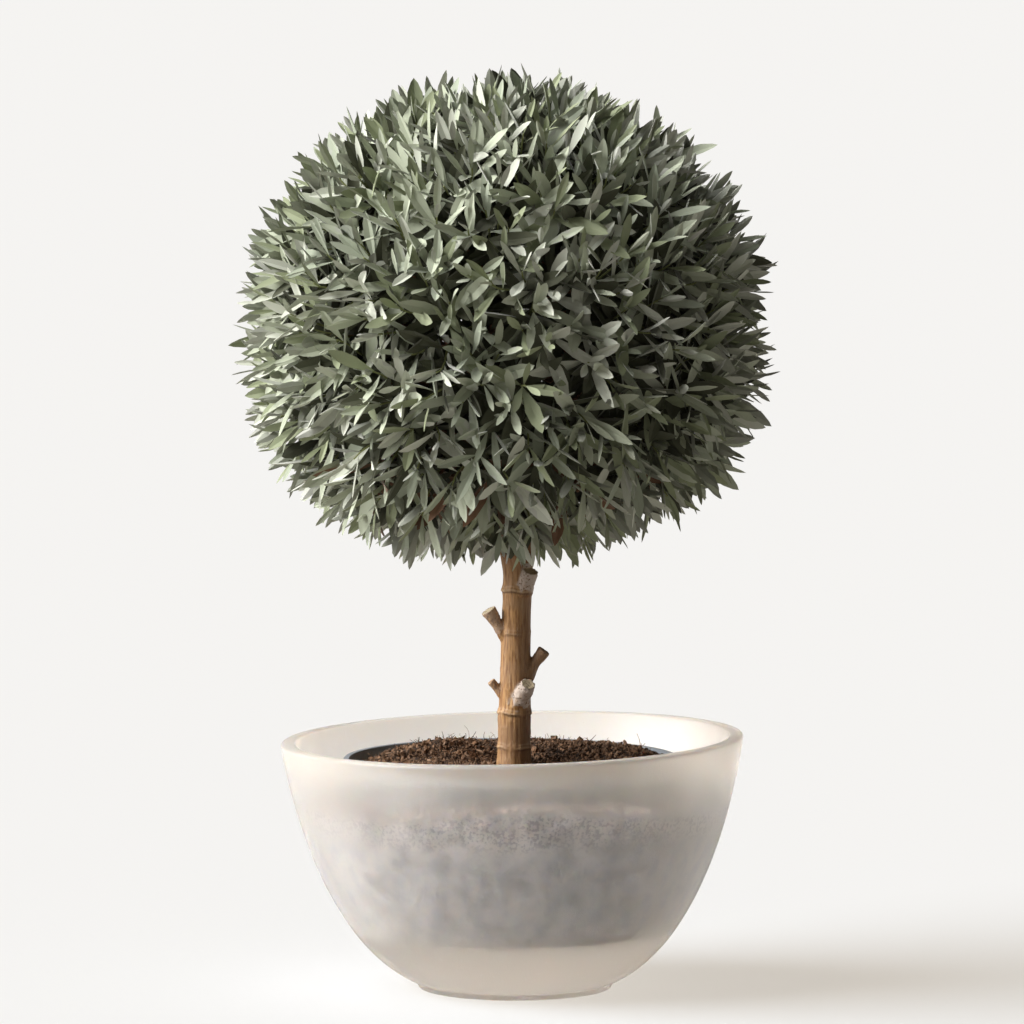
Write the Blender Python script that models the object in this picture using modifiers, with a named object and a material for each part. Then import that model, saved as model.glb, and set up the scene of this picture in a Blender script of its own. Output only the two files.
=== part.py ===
"""Standard lollipop topiary: a grey-leaved shrub clipped to a ball on a clear trunk, in a nursery
pot that stands in a bed of bark inside a frosted bowl.

Metres, +Z up. The origin is on the bowl's flat underside, below the middle of its rim, and -Y is
the front.
"""

import math
import random

import bmesh
import bpy
from mathutils import Quaternion, Vector
from mathutils.bvhtree import BVHTree

GAP = 0.0003  # left between pieces that touch
WELD = 0.00001  # points nearer than this are one

# Bowl: a thick cast wall on a solid base and a low foot disc.
BOWL_RIM_RADIUS = 0.2325
BOWL_HEIGHT = 0.252
BOWL_WALL = 0.0145
BOWL_LIP = 0.0035  # rounding of the lip's edges
BOWL_BELLY_LOW = (0.195, 0.051)  # handles of the outer curve: radius, height
BOWL_BELLY_HIGH = (0.226, 0.208)
BOWL_FLOOR = 0.061
BOWL_FLOOR_RADIUS = 0.139
FOOT_RADIUS = 0.0975
FOOT_SHOULDER = 0.1035
FOOT_HEIGHT = 0.0075
BOWL_LIP_EDGE = (0.0008, 0.0015)  # how far the lip's outer edge is cut in, and cut down
# The foot, as (radius, height) corners from the wall to the middle of the underside.
FOOT_CORNERS = ((FOOT_SHOULDER - 0.004, FOOT_HEIGHT - 0.001), (FOOT_RADIUS, 0.002),
                (FOOT_RADIUS - 0.0015, 0.0), (0.0, 0.0))
INSIDE_SHARES = (0.25, 0.975, 7)  # first and last share of the curve inside, and points
OUTSIDE_SHARES = (0.0, 0.975, 10)
TURN_STEPS = 40  # all turned pieces, so that their flats lie face to face

# The bowl is cast a little out of true: its right side is higher, and its foot is off to the right.
RIM_TILT = 0.0216
FOOT_OFFSET = 0.0032

# Nursery pot: thin, tapered, with a turned-out rim.
POT_RIM_RADIUS = 0.165
POT_BASE_RADIUS = 0.125
POT_BASE = 0.068
POT_TOP = 0.231
POT_WALL = 0.002
POT_RIM_LIP = 0.004
POT_RIM_DEPTH = 0.009

# Bark that fills the bowl round and under the pot.
BARK_AT_POT = 0.200
BARK_AT_WALL = 0.190
BARK_CROWNING = 0.0015  # how far the slope's thirds stand above a straight line

# Compost in the pot: level at the trunk's foot, with low humps (x, y, radius, height) round it.
SOIL_LEVEL = 0.222
SOIL_EDGE_DROP = 0.006
SOIL_EDGE_POWER = 8  # the drop keeps to the pot's wall
SOIL_SEAT_RADIUS = 0.0245
SOIL_RING_SHARES = (0.28, 0.42, 0.56, 0.70, 0.84, 0.94)
SOIL_HUMPS = (
    (-0.062, 0.052, 0.046, 0.016),
    (0.048, 0.060, 0.045, 0.010),
    (0.000, 0.110, 0.080, 0.011),
    (0.115, 0.040, 0.040, 0.011),
    (-0.110, 0.030, 0.035, 0.008),
    (-0.085, -0.060, 0.050, 0.006),
    (0.060, -0.085, 0.045, 0.005),
)

# Trunk: from its cut foot on the compost to the fork.
TRUNK_FOOT = Vector((0.002, 0.0, SOIL_LEVEL + GAP))
TRUNK_LEAN = 0.0035  # how far the top stands to the right of the foot
TRUNK_FORK = 0.4365
TRUNK_FOOT_RADIUS = 0.0170
TRUNK_TOP_RADIUS = 0.0146
TAPER_ENDS = 0.625  # share of the height at which the taper ends
ROOT_FLARE = 0.0010
ROOT_FLARE_RISE = 0.012
CROTCH_HEIGHT = 0.03  # the trunk widens over this height below the fork
CROTCH_SWELLING = 0.0026
NODE_RINGS = ((0.2420, 0.0008), (0.2772, 0.0011), (0.3577, 0.0005), (0.4000, 0.0013))
NODE_RING_SPREAD = 0.0032
TRUNK_RINGS = 27
TRUNK_END_RING = 0.002  # from each end to the ring of points next to it
RING_SIDE = 1.2  # from a node ring's middle to its sides, in spreads
RING_ROOM = 0.6  # least room between rings of points, in spacings
TRUNK_BEVEL = 6  # 16 sides

# Pruned stubs: name, root inside the trunk, cut end, and radius at root, waist and cut.
STUBS = (
    ("stub_lower_left", (-0.008, -0.001, 0.2950), (-0.0212, -0.003, 0.3090), (0.0062, 0.0040, 0.0040)),
    ("stub_lower_front", (0.0040, -0.003, 0.2830), (0.0162, -0.0225, 0.3080), (0.0135, 0.0082, 0.0068)),
    ("stub_right", (0.0110, -0.001, 0.3140), (0.0325, -0.004, 0.3400), (0.0115, 0.0056, 0.0066)),
    ("stub_left", (-0.004, 0.000, 0.3515), (-0.0237, -0.005, 0.3805), (0.0078, 0.0056, 0.0076)),
    ("stub_upper_right", (0.0105, -0.006, 0.3990), (0.0187, -0.0155, 0.4210), (0.0105, 0.0080, 0.0072)),
)
STUB_WAIST = 0.6  # place of the waist, as a share of the way to the cut
STUB_BEVEL = 3  # 10 sides

# Main boughs: name, points from the trunk's top into the crown, radius at the fork and the tip.
BOUGHS = (
    ("bough_left", ((-0.0088, 0.0, 0.0), (-0.0098, 0.001, 0.016), (-0.0135, 0.003, 0.034),
                    (-0.0210, 0.006, 0.050)), 0.0088, 0.0074),
    ("bough_right", ((0.0108, 0.0, 0.0), (0.0118, 0.001, 0.016), (0.0140, 0.002, 0.034),
                     (0.0190, 0.003, 0.050)), 0.0064, 0.0058),
)
BOUGH_FIRST_STEP = 0.003
BOUGH_BEVEL = 3

# Crown: a ball a little wider than high, squarer below than above.
CROWN_CENTRE = Vector((-0.006, 0.0, 0.673))
CROWN_RADIUS = 0.268
CROWN_RISE = 0.242  # from the centre to the top, and to the underside
ROUND_ABOVE = 2.05  # exponents of the outline
ROUND_BELOW = 2.65
CORE_DETAIL = 3
CORE_SHARE = 0.72  # core, twig's fork, twig's tip and leaf's tip, as shares of the outline
FORK_SHARE = 0.60
TWIG_TIP_SHARES = (0.85, 0.91)
LEAF_TIP_SHARES = (0.96, 1.06)
STEM_SHARE = 0.62  # where the stems on the boughs end, inside the core
STEM_GAP = 0.00045  # from a bough's tip to its stem
STEM_FIRST_STEP = 0.004
STEM_BEVEL = 2

# Twigs: each forks in two inside the core, and each fork's tip carries a whorl of leaves.
TWIGS = 59
TWIG_RADII = (0.0050, 0.0034)
FORK_SPREAD = math.radians(6.5)
LEAVES_PER_TWIG = 4
LEAF_LENGTHS = (0.074, 0.098)
LEAF_WIDTH = 0.33  # width, thickness and widest place, as shares of the length
LEAF_THICKNESS = 0.040
LEAF_WIDEST = 0.46
LEAF_STALK = 0.22
LEAF_SHORTEST = 0.6  # a leaf cut shorter than this share of its length is left out
LEAF_TILTS = (math.radians(78), math.radians(34))  # lowest and highest leaf, from the twig
LEAF_TILT_SCATTER = 0.15
LEAF_CHECKS = (0.35, 0.6, 0.8, 1.0)  # shares of a leaf that must clear the limbs
LENGTH_HALVINGS = 12
LEAF_TRIES = 10
LEAF_TURN = math.radians(37)  # each try turns the whorl this much further
WHORL_LENGTH = 0.020
WHORL_GAP = 0.003  # from the highest leaf's foot to the twig's end
LIMB_CLEARANCE = 0.004
SEED = 11
GOLDEN_ANGLE = math.pi * (3 - math.sqrt(5))


def clear_scene():
    for obj in list(bpy.data.objects):
        bpy.data.objects.remove(obj, do_unlink=True)


def new_collection(name):
    collection = bpy.data.collections.new(name)
    bpy.context.scene.collection.children.link(collection)
    return collection


def material(name, colour, roughness, alpha=1.0):
    """A Principled material of one colour."""
    made = bpy.data.materials.new(name)
    made.use_nodes = True
    shader = made.node_tree.nodes["Principled BSDF"]
    shader.inputs["Base Color"].default_value = (*colour, 1.0)
    shader.inputs["Roughness"].default_value = roughness
    shader.inputs["Metallic"].default_value = 0.0
    shader.inputs["Alpha"].default_value = alpha
    return made


def place(name, data, collection, skin=None):
    """Link a mesh or curve to a collection as a named object."""
    obj = bpy.data.objects.new(name, data)
    collection.objects.link(obj)
    if skin is not None:
        data.materials.append(skin)
    return obj


def shade(mesh, angle=math.radians(35)):
    mesh.shade_smooth()
    mesh.set_sharp_from_angle(angle=angle)


def turned(name, profile, collection, skin):
    """A solid of revolution: (radius, height) points down the outside, back up the inside."""
    mesh = bpy.data.meshes.new(name)
    points = [(radius, 0.0, height) for radius, height in profile]
    mesh.from_pydata(points, [(i, i + 1) for i in range(len(points) - 1)], [])
    obj = place(name, mesh, collection, skin)
    screw = obj.modifiers.new("turn", "SCREW")
    screw.axis = "Z"
    screw.steps = TURN_STEPS
    screw.render_steps = TURN_STEPS
    screw.use_merge_vertices = True
    screw.merge_threshold = WELD
    screw.use_smooth_shade = True
    return obj


def applied(obj):
    """Swap an object's mesh for the one its modifiers give, and drop the modifiers."""
    graph = bpy.context.evaluated_depsgraph_get()
    mesh = bpy.data.meshes.new_from_object(obj.evaluated_get(graph))
    mesh.name = obj.name
    obj.modifiers.clear()
    obj.data = mesh
    return obj


def limb(name, points, radii, bevel, collection, skin=None):
    """A round tapering limb along a line of points, closed at both ends, as a mesh."""
    curve = bpy.data.curves.new(name + "_path", "CURVE")
    curve.dimensions = "3D"
    curve.bevel_depth = radii[0]
    curve.bevel_resolution = bevel
    curve.use_fill_caps = True
    spline = curve.splines.new("POLY")
    spline.points.add(len(points) - 1)
    for point, co, radius in zip(spline.points, points, radii):
        point.co = (*co, 1.0)
        point.radius = radius / radii[0]
    guide = place(name + "_path", curve, collection)
    graph = bpy.context.evaluated_depsgraph_get()
    mesh = bpy.data.meshes.new_from_object(guide.evaluated_get(graph))
    bpy.data.objects.remove(guide)
    welded = bmesh.new()
    welded.from_mesh(mesh)
    bmesh.ops.remove_doubles(welded, verts=welded.verts, dist=WELD)
    welded.to_mesh(mesh)
    welded.free()
    mesh.materials.clear()
    obj = place(name, mesh, collection, skin)
    shade(mesh)
    return obj


def bezier(start, handle_a, handle_b, end, share):
    """The point at a share of the way along a cubic curve, with its direction."""
    a, b, c, d = (Vector(p) for p in (start, handle_a, handle_b, end))
    rest = 1 - share
    point = rest**3 * a + 3 * rest**2 * share * b + 3 * rest * share**2 * c + share**3 * d
    way = rest**2 * (b - a) + 2 * rest * share * (c - b) + share**2 * (d - c)
    return point, way.normalized()


def bowl_curve(inset, first, last, count):
    """Points of the bowl's outer curve from foot to rim, moved inwards by inset."""
    foot = (FOOT_SHOULDER, FOOT_HEIGHT)
    rim = (BOWL_RIM_RADIUS, BOWL_HEIGHT)
    points = []
    for i in range(count):
        share = first + (last - first) * i / (count - 1)
        point, way = bezier(foot, BOWL_BELLY_LOW, BOWL_BELLY_HIGH, rim, share)
        points.append((point.x - inset * way.y, point.y + inset * way.x))
    return points


def cast_askew(vertices):
    """Tilt and shift each level of the bowl by its height, which leaves the underside flat."""
    for vertex in vertices:
        share = vertex.co.z / BOWL_HEIGHT
        vertex.co.z += vertex.co.x * RIM_TILT * share
        vertex.co.x += FOOT_OFFSET * (1 - share)


def radius_at(points, height):
    """The radius of a rising line of (radius, height) points at one height."""
    for (r0, z0), (r1, z1) in zip(points, points[1:]):
        if z0 <= height <= z1:
            return r0 + (r1 - r0) * (height - z0) / (z1 - z0)
    return points[-1][0]


def make_bowl(collection, skin):
    """The wall follows the outer curve outside and its inset inside, with a rounded lip."""
    outside = bowl_curve(0.0, *OUTSIDE_SHARES)
    inside = bowl_curve(BOWL_WALL, *INSIDE_SHARES)
    middle = (outside[-1][0] + inside[-1][0]) / 2
    lip = [
        (middle - BOWL_WALL / 2 + BOWL_LIP, BOWL_HEIGHT),
        (middle + BOWL_WALL / 2 - BOWL_LIP, BOWL_HEIGHT),
        (BOWL_RIM_RADIUS - BOWL_LIP_EDGE[0], BOWL_HEIGHT - BOWL_LIP_EDGE[1]),
    ]
    floor = [(0.0, BOWL_FLOOR), (BOWL_FLOOR_RADIUS, BOWL_FLOOR)]
    profile = floor + inside + lip + outside[::-1] + list(FOOT_CORNERS)
    bowl = applied(turned("bowl", profile, collection, skin))
    cast_askew(bowl.data.vertices)
    return bowl


def pot_radius(height):
    """The nursery pot's outer radius at one height."""
    share = (height - POT_BASE) / (POT_TOP - POT_BASE)
    return POT_BASE_RADIUS + (POT_RIM_RADIUS - POT_BASE_RADIUS) * share


def make_pot(collection, skin):
    floor = POT_BASE + POT_WALL
    rim_low = POT_TOP - POT_RIM_DEPTH
    profile = [
        (0.0, floor),
        (pot_radius(floor) - POT_WALL, floor),
        (pot_radius(POT_TOP) - POT_WALL, POT_TOP),
        (POT_RIM_RADIUS + POT_RIM_LIP, POT_TOP),
        (POT_RIM_RADIUS + POT_RIM_LIP, rim_low),
        (pot_radius(rim_low), rim_low),
        (POT_BASE_RADIUS, POT_BASE),
        (0.0, POT_BASE),
    ]
    return turned("nursery_pot", profile, collection, skin)


def make_bark(collection, skin):
    """Bark: outside it lies on the bowl's wall, inside it is the seat of the pot."""
    wall = bowl_curve(BOWL_WALL + GAP, *INSIDE_SHARES)
    low = BOWL_FLOOR + GAP
    outside = [(radius, height) for radius, height in wall if height < BARK_AT_WALL]
    rim = radius_at(wall, BARK_AT_WALL)
    inner = pot_radius(BARK_AT_POT) + GAP
    top = [
        (inner, BARK_AT_POT),
        ((inner * 2 + rim) / 3, (BARK_AT_POT * 2 + BARK_AT_WALL) / 3 + BARK_CROWNING),
        ((inner + rim * 2) / 3, (BARK_AT_POT + BARK_AT_WALL * 2) / 3 + BARK_CROWNING),
        (rim, BARK_AT_WALL),
    ]
    seat = POT_BASE - GAP
    profile = [(0.0, seat), (POT_BASE_RADIUS + GAP, seat)] + top + outside[::-1]
    profile += [(BOWL_FLOOR_RADIUS - GAP, low), (0.0, low)]
    bark = applied(turned("bark_fill", profile, collection, skin))
    beyond_seat = []
    for vertex in bark.data.vertices:
        off_pot = math.hypot(vertex.co.x, vertex.co.y) - pot_radius(vertex.co.z)
        if off_pot > 2 * GAP or vertex.co.z < seat - GAP:
            beyond_seat.append(vertex)
    cast_askew(beyond_seat)
    return bark


def soil_height(x, y):
    """The compost's surface: level at the trunk, humped round it, lower at the pot's wall."""
    reach = math.hypot(x, y)
    edge = min(1.0, reach / pot_radius(SOIL_LEVEL)) ** SOIL_EDGE_POWER
    humps = 0.0
    for hump_x, hump_y, spread, rise in SOIL_HUMPS:
        humps += rise * math.exp(-((x - hump_x) ** 2 + (y - hump_y) ** 2) / spread**2)
    seat = min(1.0, max(0.0, reach / SOIL_SEAT_RADIUS - 1))
    return SOIL_LEVEL - SOIL_EDGE_DROP * edge + humps * seat * (1 - edge)


def make_root_ball(collection, skin):
    """Compost as the pot holds it, with the top set to its height point by point."""
    floor = POT_BASE + POT_WALL + GAP
    edge = SOIL_LEVEL - SOIL_EDGE_DROP
    radius = pot_radius(edge) - POT_WALL - GAP
    rings = [SOIL_SEAT_RADIUS] + [radius * share for share in SOIL_RING_SHARES]
    profile = [(0.0, SOIL_LEVEL)] + [(ring, SOIL_LEVEL) for ring in rings]
    profile += [(radius, edge), (pot_radius(floor) - POT_WALL - GAP, floor), (0.0, floor)]
    obj = applied(turned("root_ball", profile, collection, skin))
    for vertex in obj.data.vertices:
        if vertex.co.z > edge + GAP:
            vertex.co.z = soil_height(vertex.co.x, vertex.co.y)
    return obj


def trunk_radius(height):
    """Even taper, a flare at the foot and a low swelling at each node ring."""
    share = (height - TRUNK_FOOT.z) / (TRUNK_FORK - TRUNK_FOOT.z)
    taper = min(1.0, share / TAPER_ENDS)
    radius = TRUNK_FOOT_RADIUS + (TRUNK_TOP_RADIUS - TRUNK_FOOT_RADIUS) * taper
    radius += ROOT_FLARE * math.exp(-((height - TRUNK_FOOT.z) / ROOT_FLARE_RISE) ** 2)
    for ring, swelling in NODE_RINGS:
        radius += swelling * math.exp(-(((height - ring) / NODE_RING_SPREAD) ** 2))
    crotch = max(0.0, (height - TRUNK_FORK) / CROTCH_HEIGHT + 1)
    return radius + CROTCH_SWELLING * crotch**2


def trunk_centre(height):
    share = (height - TRUNK_FOOT.z) / (TRUNK_FORK - TRUNK_FOOT.z)
    ease = share * share * (3 - 2 * share)
    return TRUNK_FOOT + Vector((TRUNK_LEAN * ease, 0.0, height - TRUNK_FOOT.z))


def trunk_line(extra=0.0):
    """Centre points and radii of the trunk, closer together round each node ring."""
    heights = [TRUNK_FOOT.z, TRUNK_FOOT.z + TRUNK_END_RING, TRUNK_FORK - TRUNK_END_RING, TRUNK_FORK]
    side = RING_SIDE * NODE_RING_SPREAD
    for ring, _ in NODE_RINGS:
        heights += [ring - side, ring, ring + side]
    spacing = (TRUNK_FORK - TRUNK_FOOT.z) / TRUNK_RINGS
    for i in range(1, TRUNK_RINGS):
        height = TRUNK_FOOT.z + spacing * i
        if min(abs(height - other) for other in heights) > RING_ROOM * spacing:
            heights.append(height)
    heights.sort()
    return [trunk_centre(z) for z in heights], [trunk_radius(z) + extra for z in heights]


def make_trunk(collection, skin):
    points, radii = trunk_line()
    return limb("trunk", points, radii, TRUNK_BEVEL, collection, skin)


def make_stubs(collection, cutters, skin):
    """Each stub is a short limb whose inner end is cut to the trunk's surface."""
    points, radii = trunk_line(GAP)
    cutter = limb("trunk_cutter", points, radii, TRUNK_BEVEL, cutters)
    cutter.hide_render = True
    cutter.display_type = "WIRE"
    stubs = []
    for name, root, cut, radii in STUBS:
        line = [Vector(root), Vector(root).lerp(Vector(cut), STUB_WAIST), Vector(cut)]
        obj = limb(name, line, radii, STUB_BEVEL, collection, skin)
        trim = obj.modifiers.new("trim_to_trunk", "BOOLEAN")
        trim.operation = "DIFFERENCE"
        trim.object = cutter
        stubs.append(obj)
    return stubs


def bough_points(offsets):
    """The bough's points, from the cut that stands on the trunk's top, first straight up."""
    foot = trunk_centre(TRUNK_FORK) + Vector((0.0, 0.0, GAP))
    points = [foot + Vector(offset) for offset in offsets]
    return [points[0], points[0] + Vector((0.0, 0.0, BOUGH_FIRST_STEP))] + points[1:]


def tapered(first, last, count):
    return [first + (last - first) * i / (count - 1) for i in range(count)]


def make_boughs(collection, skin):
    for name, offsets, first, last in BOUGHS:
        points = bough_points(offsets)
        limb(name, points, tapered(first, last, len(points)), BOUGH_BEVEL, collection, skin)


def crown_reach(way):
    """Distance from the crown's centre to its outline: a rounded square of high exponent below."""
    power = ROUND_ABOVE if way.z > 0 else ROUND_BELOW
    flat = math.hypot(way.x, way.y) / CROWN_RADIUS
    return (flat**power + (abs(way.z) / CROWN_RISE) ** power) ** (-1 / power)


def crown_point(way, share):
    return CROWN_CENTRE + way * (crown_reach(way) * share)


def crown_share(point):
    """How far out a point lies, as a share of the outline."""
    offset = point - CROWN_CENTRE
    return offset.length / crown_reach(offset.normalized())


def spread_directions(count):
    """Directions spaced evenly over a ball, along a golden spiral."""
    ways = []
    for i in range(count):
        z = 1 - 2 * (i + 0.5) / count
        flat = math.sqrt(1 - z * z)
        ways.append(Vector((flat * math.cos(i * GOLDEN_ANGLE), flat * math.sin(i * GOLDEN_ANGLE), z)))
    return ways


def limb_lines():
    """Segments (start, end, radius) of the trunk and boughs, which foliage keeps clear of."""
    lines = [(trunk_centre(TRUNK_FOOT.z), trunk_centre(TRUNK_FORK), TRUNK_FOOT_RADIUS)]
    for _, offsets, first, _ in BOUGHS:
        points = bough_points(offsets)
        lines += [(a, b, first) for a, b in zip(points, points[1:])]
    return lines


def clear_of(lines, points, clearance):
    for start, end, radius in lines:
        along = end - start
        for point in points:
            share = max(0.0, min(1.0, (point - start).dot(along) / along.length_squared))
            if (point - start - along * share).length < radius + clearance:
                return False
    return True


def stick(name, start, end, start_radius, end_radius, collection):
    """A three-sided twig from start to end."""
    bm = bmesh.new()
    length = (end - start).length
    bmesh.ops.create_cone(
        bm, cap_ends=True, segments=3, radius1=start_radius, radius2=end_radius, depth=length
    )
    mesh = bpy.data.meshes.new(name)
    bm.to_mesh(mesh)
    bm.free()
    turn = (end - start).to_track_quat("Z", "Y").to_matrix().to_4x4()
    turn.translation = (start + end) / 2
    mesh.transform(turn)
    place(name, mesh, collection)


def leaf_shape(root, way, face, length):
    """Corners and faces of a lance-shaped leaf: a crest along its upper side, flat below."""
    side = way.cross(face).normalized()
    up = side.cross(way).normalized()
    widest = root + way * (length * LEAF_WIDEST)
    half = side * (length * LEAF_WIDTH / 2)
    crest = widest + up * (length * LEAF_THICKNESS)
    corners = [root, widest + half, root + way * length, widest - half, crest]
    return corners, [(0, 1, 4), (1, 2, 4), (2, 3, 4), (3, 0, 4), (1, 0, 2), (3, 2, 0)]


def crosses(blades, middle, tree):
    """Whether a leaf's blade passes through one that is already there."""
    for other_middle, other in blades:
        if (middle - other_middle).length < LEAF_LENGTHS[1] and tree.overlap(other):
            return True
    return False


def leaf_length(root, way, wanted, tip_share):
    """The wanted length, or less where the tip would pass its share of the outline."""
    low = 0.0
    high = wanted
    if crown_share(root + way * high) <= tip_share:
        return high
    for _ in range(LENGTH_HALVINGS):
        middle = (low + high) / 2
        if crown_share(root + way * middle) > tip_share:
            high = middle
        else:
            low = middle
    return low


def grow_leaf(tip, way, share, outward, rng, limbs, blades):
    """One leaf of a whorl, lowest at share 0: its corners and faces, or None if it has no room."""
    tilt = LEAF_TILTS[0] + (LEAF_TILTS[1] - LEAF_TILTS[0]) * share
    tilt += rng.uniform(-LEAF_TILT_SCATTER, LEAF_TILT_SCATTER)
    heading = (way * math.cos(tilt) + outward * math.sin(tilt)).normalized()
    foot = tip - way * (WHORL_GAP + WHORL_LENGTH * (1 - share))
    wanted = rng.uniform(*LEAF_LENGTHS)
    length = leaf_length(foot, heading, wanted, rng.uniform(*LEAF_TIP_SHARES))
    line = [foot + heading * length * along for along in LEAF_CHECKS]
    margin = LIMB_CLEARANCE + length * LEAF_WIDTH / 2
    if length < LEAF_SHORTEST * wanted or not clear_of(limbs, line, margin):
        return None
    bare = LEAF_STALK * length
    tree = BVHTree.FromPolygons(*leaf_shape(foot + heading * bare, heading, way, length - bare))
    middle = (line[0] + line[-1]) / 2
    if crosses(blades, middle, tree):
        return None
    blades.append((middle, tree))
    return leaf_shape(foot, heading, way, length)


def leafy_twig(name, root, tip, rng, limbs, blades, collection):
    """A twig with a whorl of leaves round its tip."""
    if not clear_of(limbs, [root, tip], LIMB_CLEARANCE + TWIG_RADII[0]):
        return
    stick(name, root, tip, *TWIG_RADII, collection)
    way = (tip - root).normalized()
    across = way.orthogonal().normalized()
    turn = rng.uniform(0, 2 * math.pi)
    for i in range(LEAVES_PER_TWIG):
        for _ in range(LEAF_TRIES):
            outward = Quaternion(way, turn + i * GOLDEN_ANGLE) @ across
            shape = grow_leaf(tip, way, i / (LEAVES_PER_TWIG - 1), outward, rng, limbs, blades)
            if shape:
                mesh = bpy.data.meshes.new(f"{name}_leaf_{i}")
                mesh.from_pydata(shape[0], [], shape[1])
                place(mesh.name, mesh, collection)
                break
            turn += LEAF_TURN


def make_core(collection, skin):
    """The dense inside of the ball, which twigs and leaves stand out of."""
    bpy.ops.mesh.primitive_ico_sphere_add(radius=1.0, subdivisions=CORE_DETAIL)
    core = bpy.context.object
    core.name = "crown"
    core.data.name = "crown"
    for vertex in core.data.vertices:
        vertex.co = crown_point(vertex.co.normalized(), CORE_SHARE)
    for owner in list(core.users_collection):
        owner.objects.unlink(core)
    collection.objects.link(core)
    core.data.materials.append(skin)
    return core


def keep_largest_body(mesh):
    """Drop loose scraps and fill sealed hollows: only the body with the most points stays."""
    bm = bmesh.new()
    bm.from_mesh(mesh)
    bodies = []
    unseen = set(bm.verts)
    while unseen:
        body = [unseen.pop()]
        for vertex in body:
            for edge in vertex.link_edges:
                other = edge.other_vert(vertex)
                if other in unseen:
                    unseen.remove(other)
                    body.append(other)
        bodies.append(body)
    bodies.sort(key=len)
    for body in bodies[:-1]:
        bmesh.ops.delete(bm, geom=body, context="VERTS")
    bmesh.ops.triangulate(bm, faces=bm.faces)
    bm.to_mesh(mesh)
    bm.free()
    return len(bodies) - 1


def make_crown(collection, skin):
    """One clipped mass: stems on the boughs' tips, the core, forked twigs and whorls of leaves."""
    rng = random.Random(SEED)
    core = make_core(collection, skin)
    growth = new_collection("crown_growth")
    for name, offsets, _, tip_radius in BOUGHS:
        points = bough_points(offsets)
        way = (points[-1] - points[-2]).normalized()
        start = points[-1] + way * STEM_GAP
        inside = CROWN_CENTRE + (start - CROWN_CENTRE) * (STEM_SHARE / crown_share(start))
        line = [start, start + way * STEM_FIRST_STEP, inside]
        limb(name + "_stem", line, [tip_radius] * len(line), STEM_BEVEL, growth)
    limbs = limb_lines()
    blades = []
    for i, way in enumerate(spread_directions(TWIGS)):
        root = crown_point(way, FORK_SHARE)
        across = Quaternion(way, rng.uniform(0, math.pi)) @ way.orthogonal().normalized()
        for j, spread in enumerate((-FORK_SPREAD, FORK_SPREAD)):
            heading = Quaternion(across, spread) @ way
            tip = crown_point(heading, rng.uniform(*TWIG_TIP_SHARES))
            leafy_twig(f"twig_{i}_{j}", root, tip, rng, limbs, blades, growth)
    join = core.modifiers.new("join", "BOOLEAN")
    join.operation = "UNION"
    join.operand_type = "COLLECTION"
    join.collection = growth
    join.solver = "MANIFOLD"
    applied(core)
    for obj in list(growth.objects):
        bpy.data.objects.remove(obj, do_unlink=True)
    bpy.data.collections.remove(growth)
    dropped = keep_largest_body(core.data)
    print(f"crown: {len(blades)} leaves, {len(core.data.polygons)} triangles, {dropped} scraps dropped")
    return core


def main():
    clear_scene()
    topiary = new_collection("lollipop_topiary")
    cutters = new_collection("cutters")
    resin = material("frosted_resin", (0.80, 0.76, 0.71), 0.55, alpha=0.75)
    plastic = material("grey_plastic", (0.14, 0.17, 0.20), 0.5)
    bark_chips = material("bark_chips", (0.32, 0.22, 0.17), 0.9)
    compost = material("compost", (0.07, 0.04, 0.025), 0.95)
    wood = material("tan_bark", (0.36, 0.20, 0.09), 0.65)
    stub_wood = material("stub_bark", (0.42, 0.30, 0.20), 0.75)
    foliage = material("felted_leaves", (0.27, 0.32, 0.26), 0.7)
    make_bowl(topiary, resin)
    make_bark(topiary, bark_chips)
    make_pot(topiary, plastic)
    make_root_ball(topiary, compost)
    make_trunk(topiary, wood)
    make_stubs(topiary, cutters, stub_wood)
    make_boughs(topiary, wood)
    make_crown(topiary, foliage)


main()
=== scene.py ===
# %% [markdown]
# # A lollipop topiary in a frosted bowl
#
# The real object is a living shrub. A bare trunk with five pruned stubs carries a clipped ball
# of narrow, felted leaves. Its nursery pot stands in a bed of bark chips inside a cast resin
# bowl. The packed CAD model is the frame: it says how big everything is and where it stands.
# Each cell below works one piece out as a surface, with numpy, and puts it in that frame.

import math

import bpy
import numpy as np
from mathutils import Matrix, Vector


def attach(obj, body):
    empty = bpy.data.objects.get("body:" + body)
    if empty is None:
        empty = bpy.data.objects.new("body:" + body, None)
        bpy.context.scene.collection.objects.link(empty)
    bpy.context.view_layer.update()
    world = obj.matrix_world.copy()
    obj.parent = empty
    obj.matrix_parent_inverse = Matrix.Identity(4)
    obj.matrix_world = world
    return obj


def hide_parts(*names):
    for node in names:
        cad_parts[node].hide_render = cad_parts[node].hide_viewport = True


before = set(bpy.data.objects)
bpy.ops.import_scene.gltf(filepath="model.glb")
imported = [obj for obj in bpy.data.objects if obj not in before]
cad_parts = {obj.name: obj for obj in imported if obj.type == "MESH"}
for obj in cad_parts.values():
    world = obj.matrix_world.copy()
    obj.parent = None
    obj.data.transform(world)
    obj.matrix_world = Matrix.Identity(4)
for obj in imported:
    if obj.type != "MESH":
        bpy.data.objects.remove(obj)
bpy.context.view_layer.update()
rng = np.random.default_rng(7)
UP = np.array([0.0, 0.0, 1.0])
print("CAD nodes:", ", ".join(sorted(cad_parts)))

# %% [markdown]
# ## Camera, floor and light
#
# A long lens far away keeps the rim of the bowl a thin ellipse, as in a catalogue picture. The
# camera looks five degrees down. For the light one could place many softboxes. A sun lamp with
# a wide disc gives the same soft-edged shade, and it lights the floor evenly however far the
# floor runs, so no horizon or hot spot shows. Two are enough: a key from high at one side, and a
# weak fill low at the same side. The sky is kept dim, so that the far side stays in shade.

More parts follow.
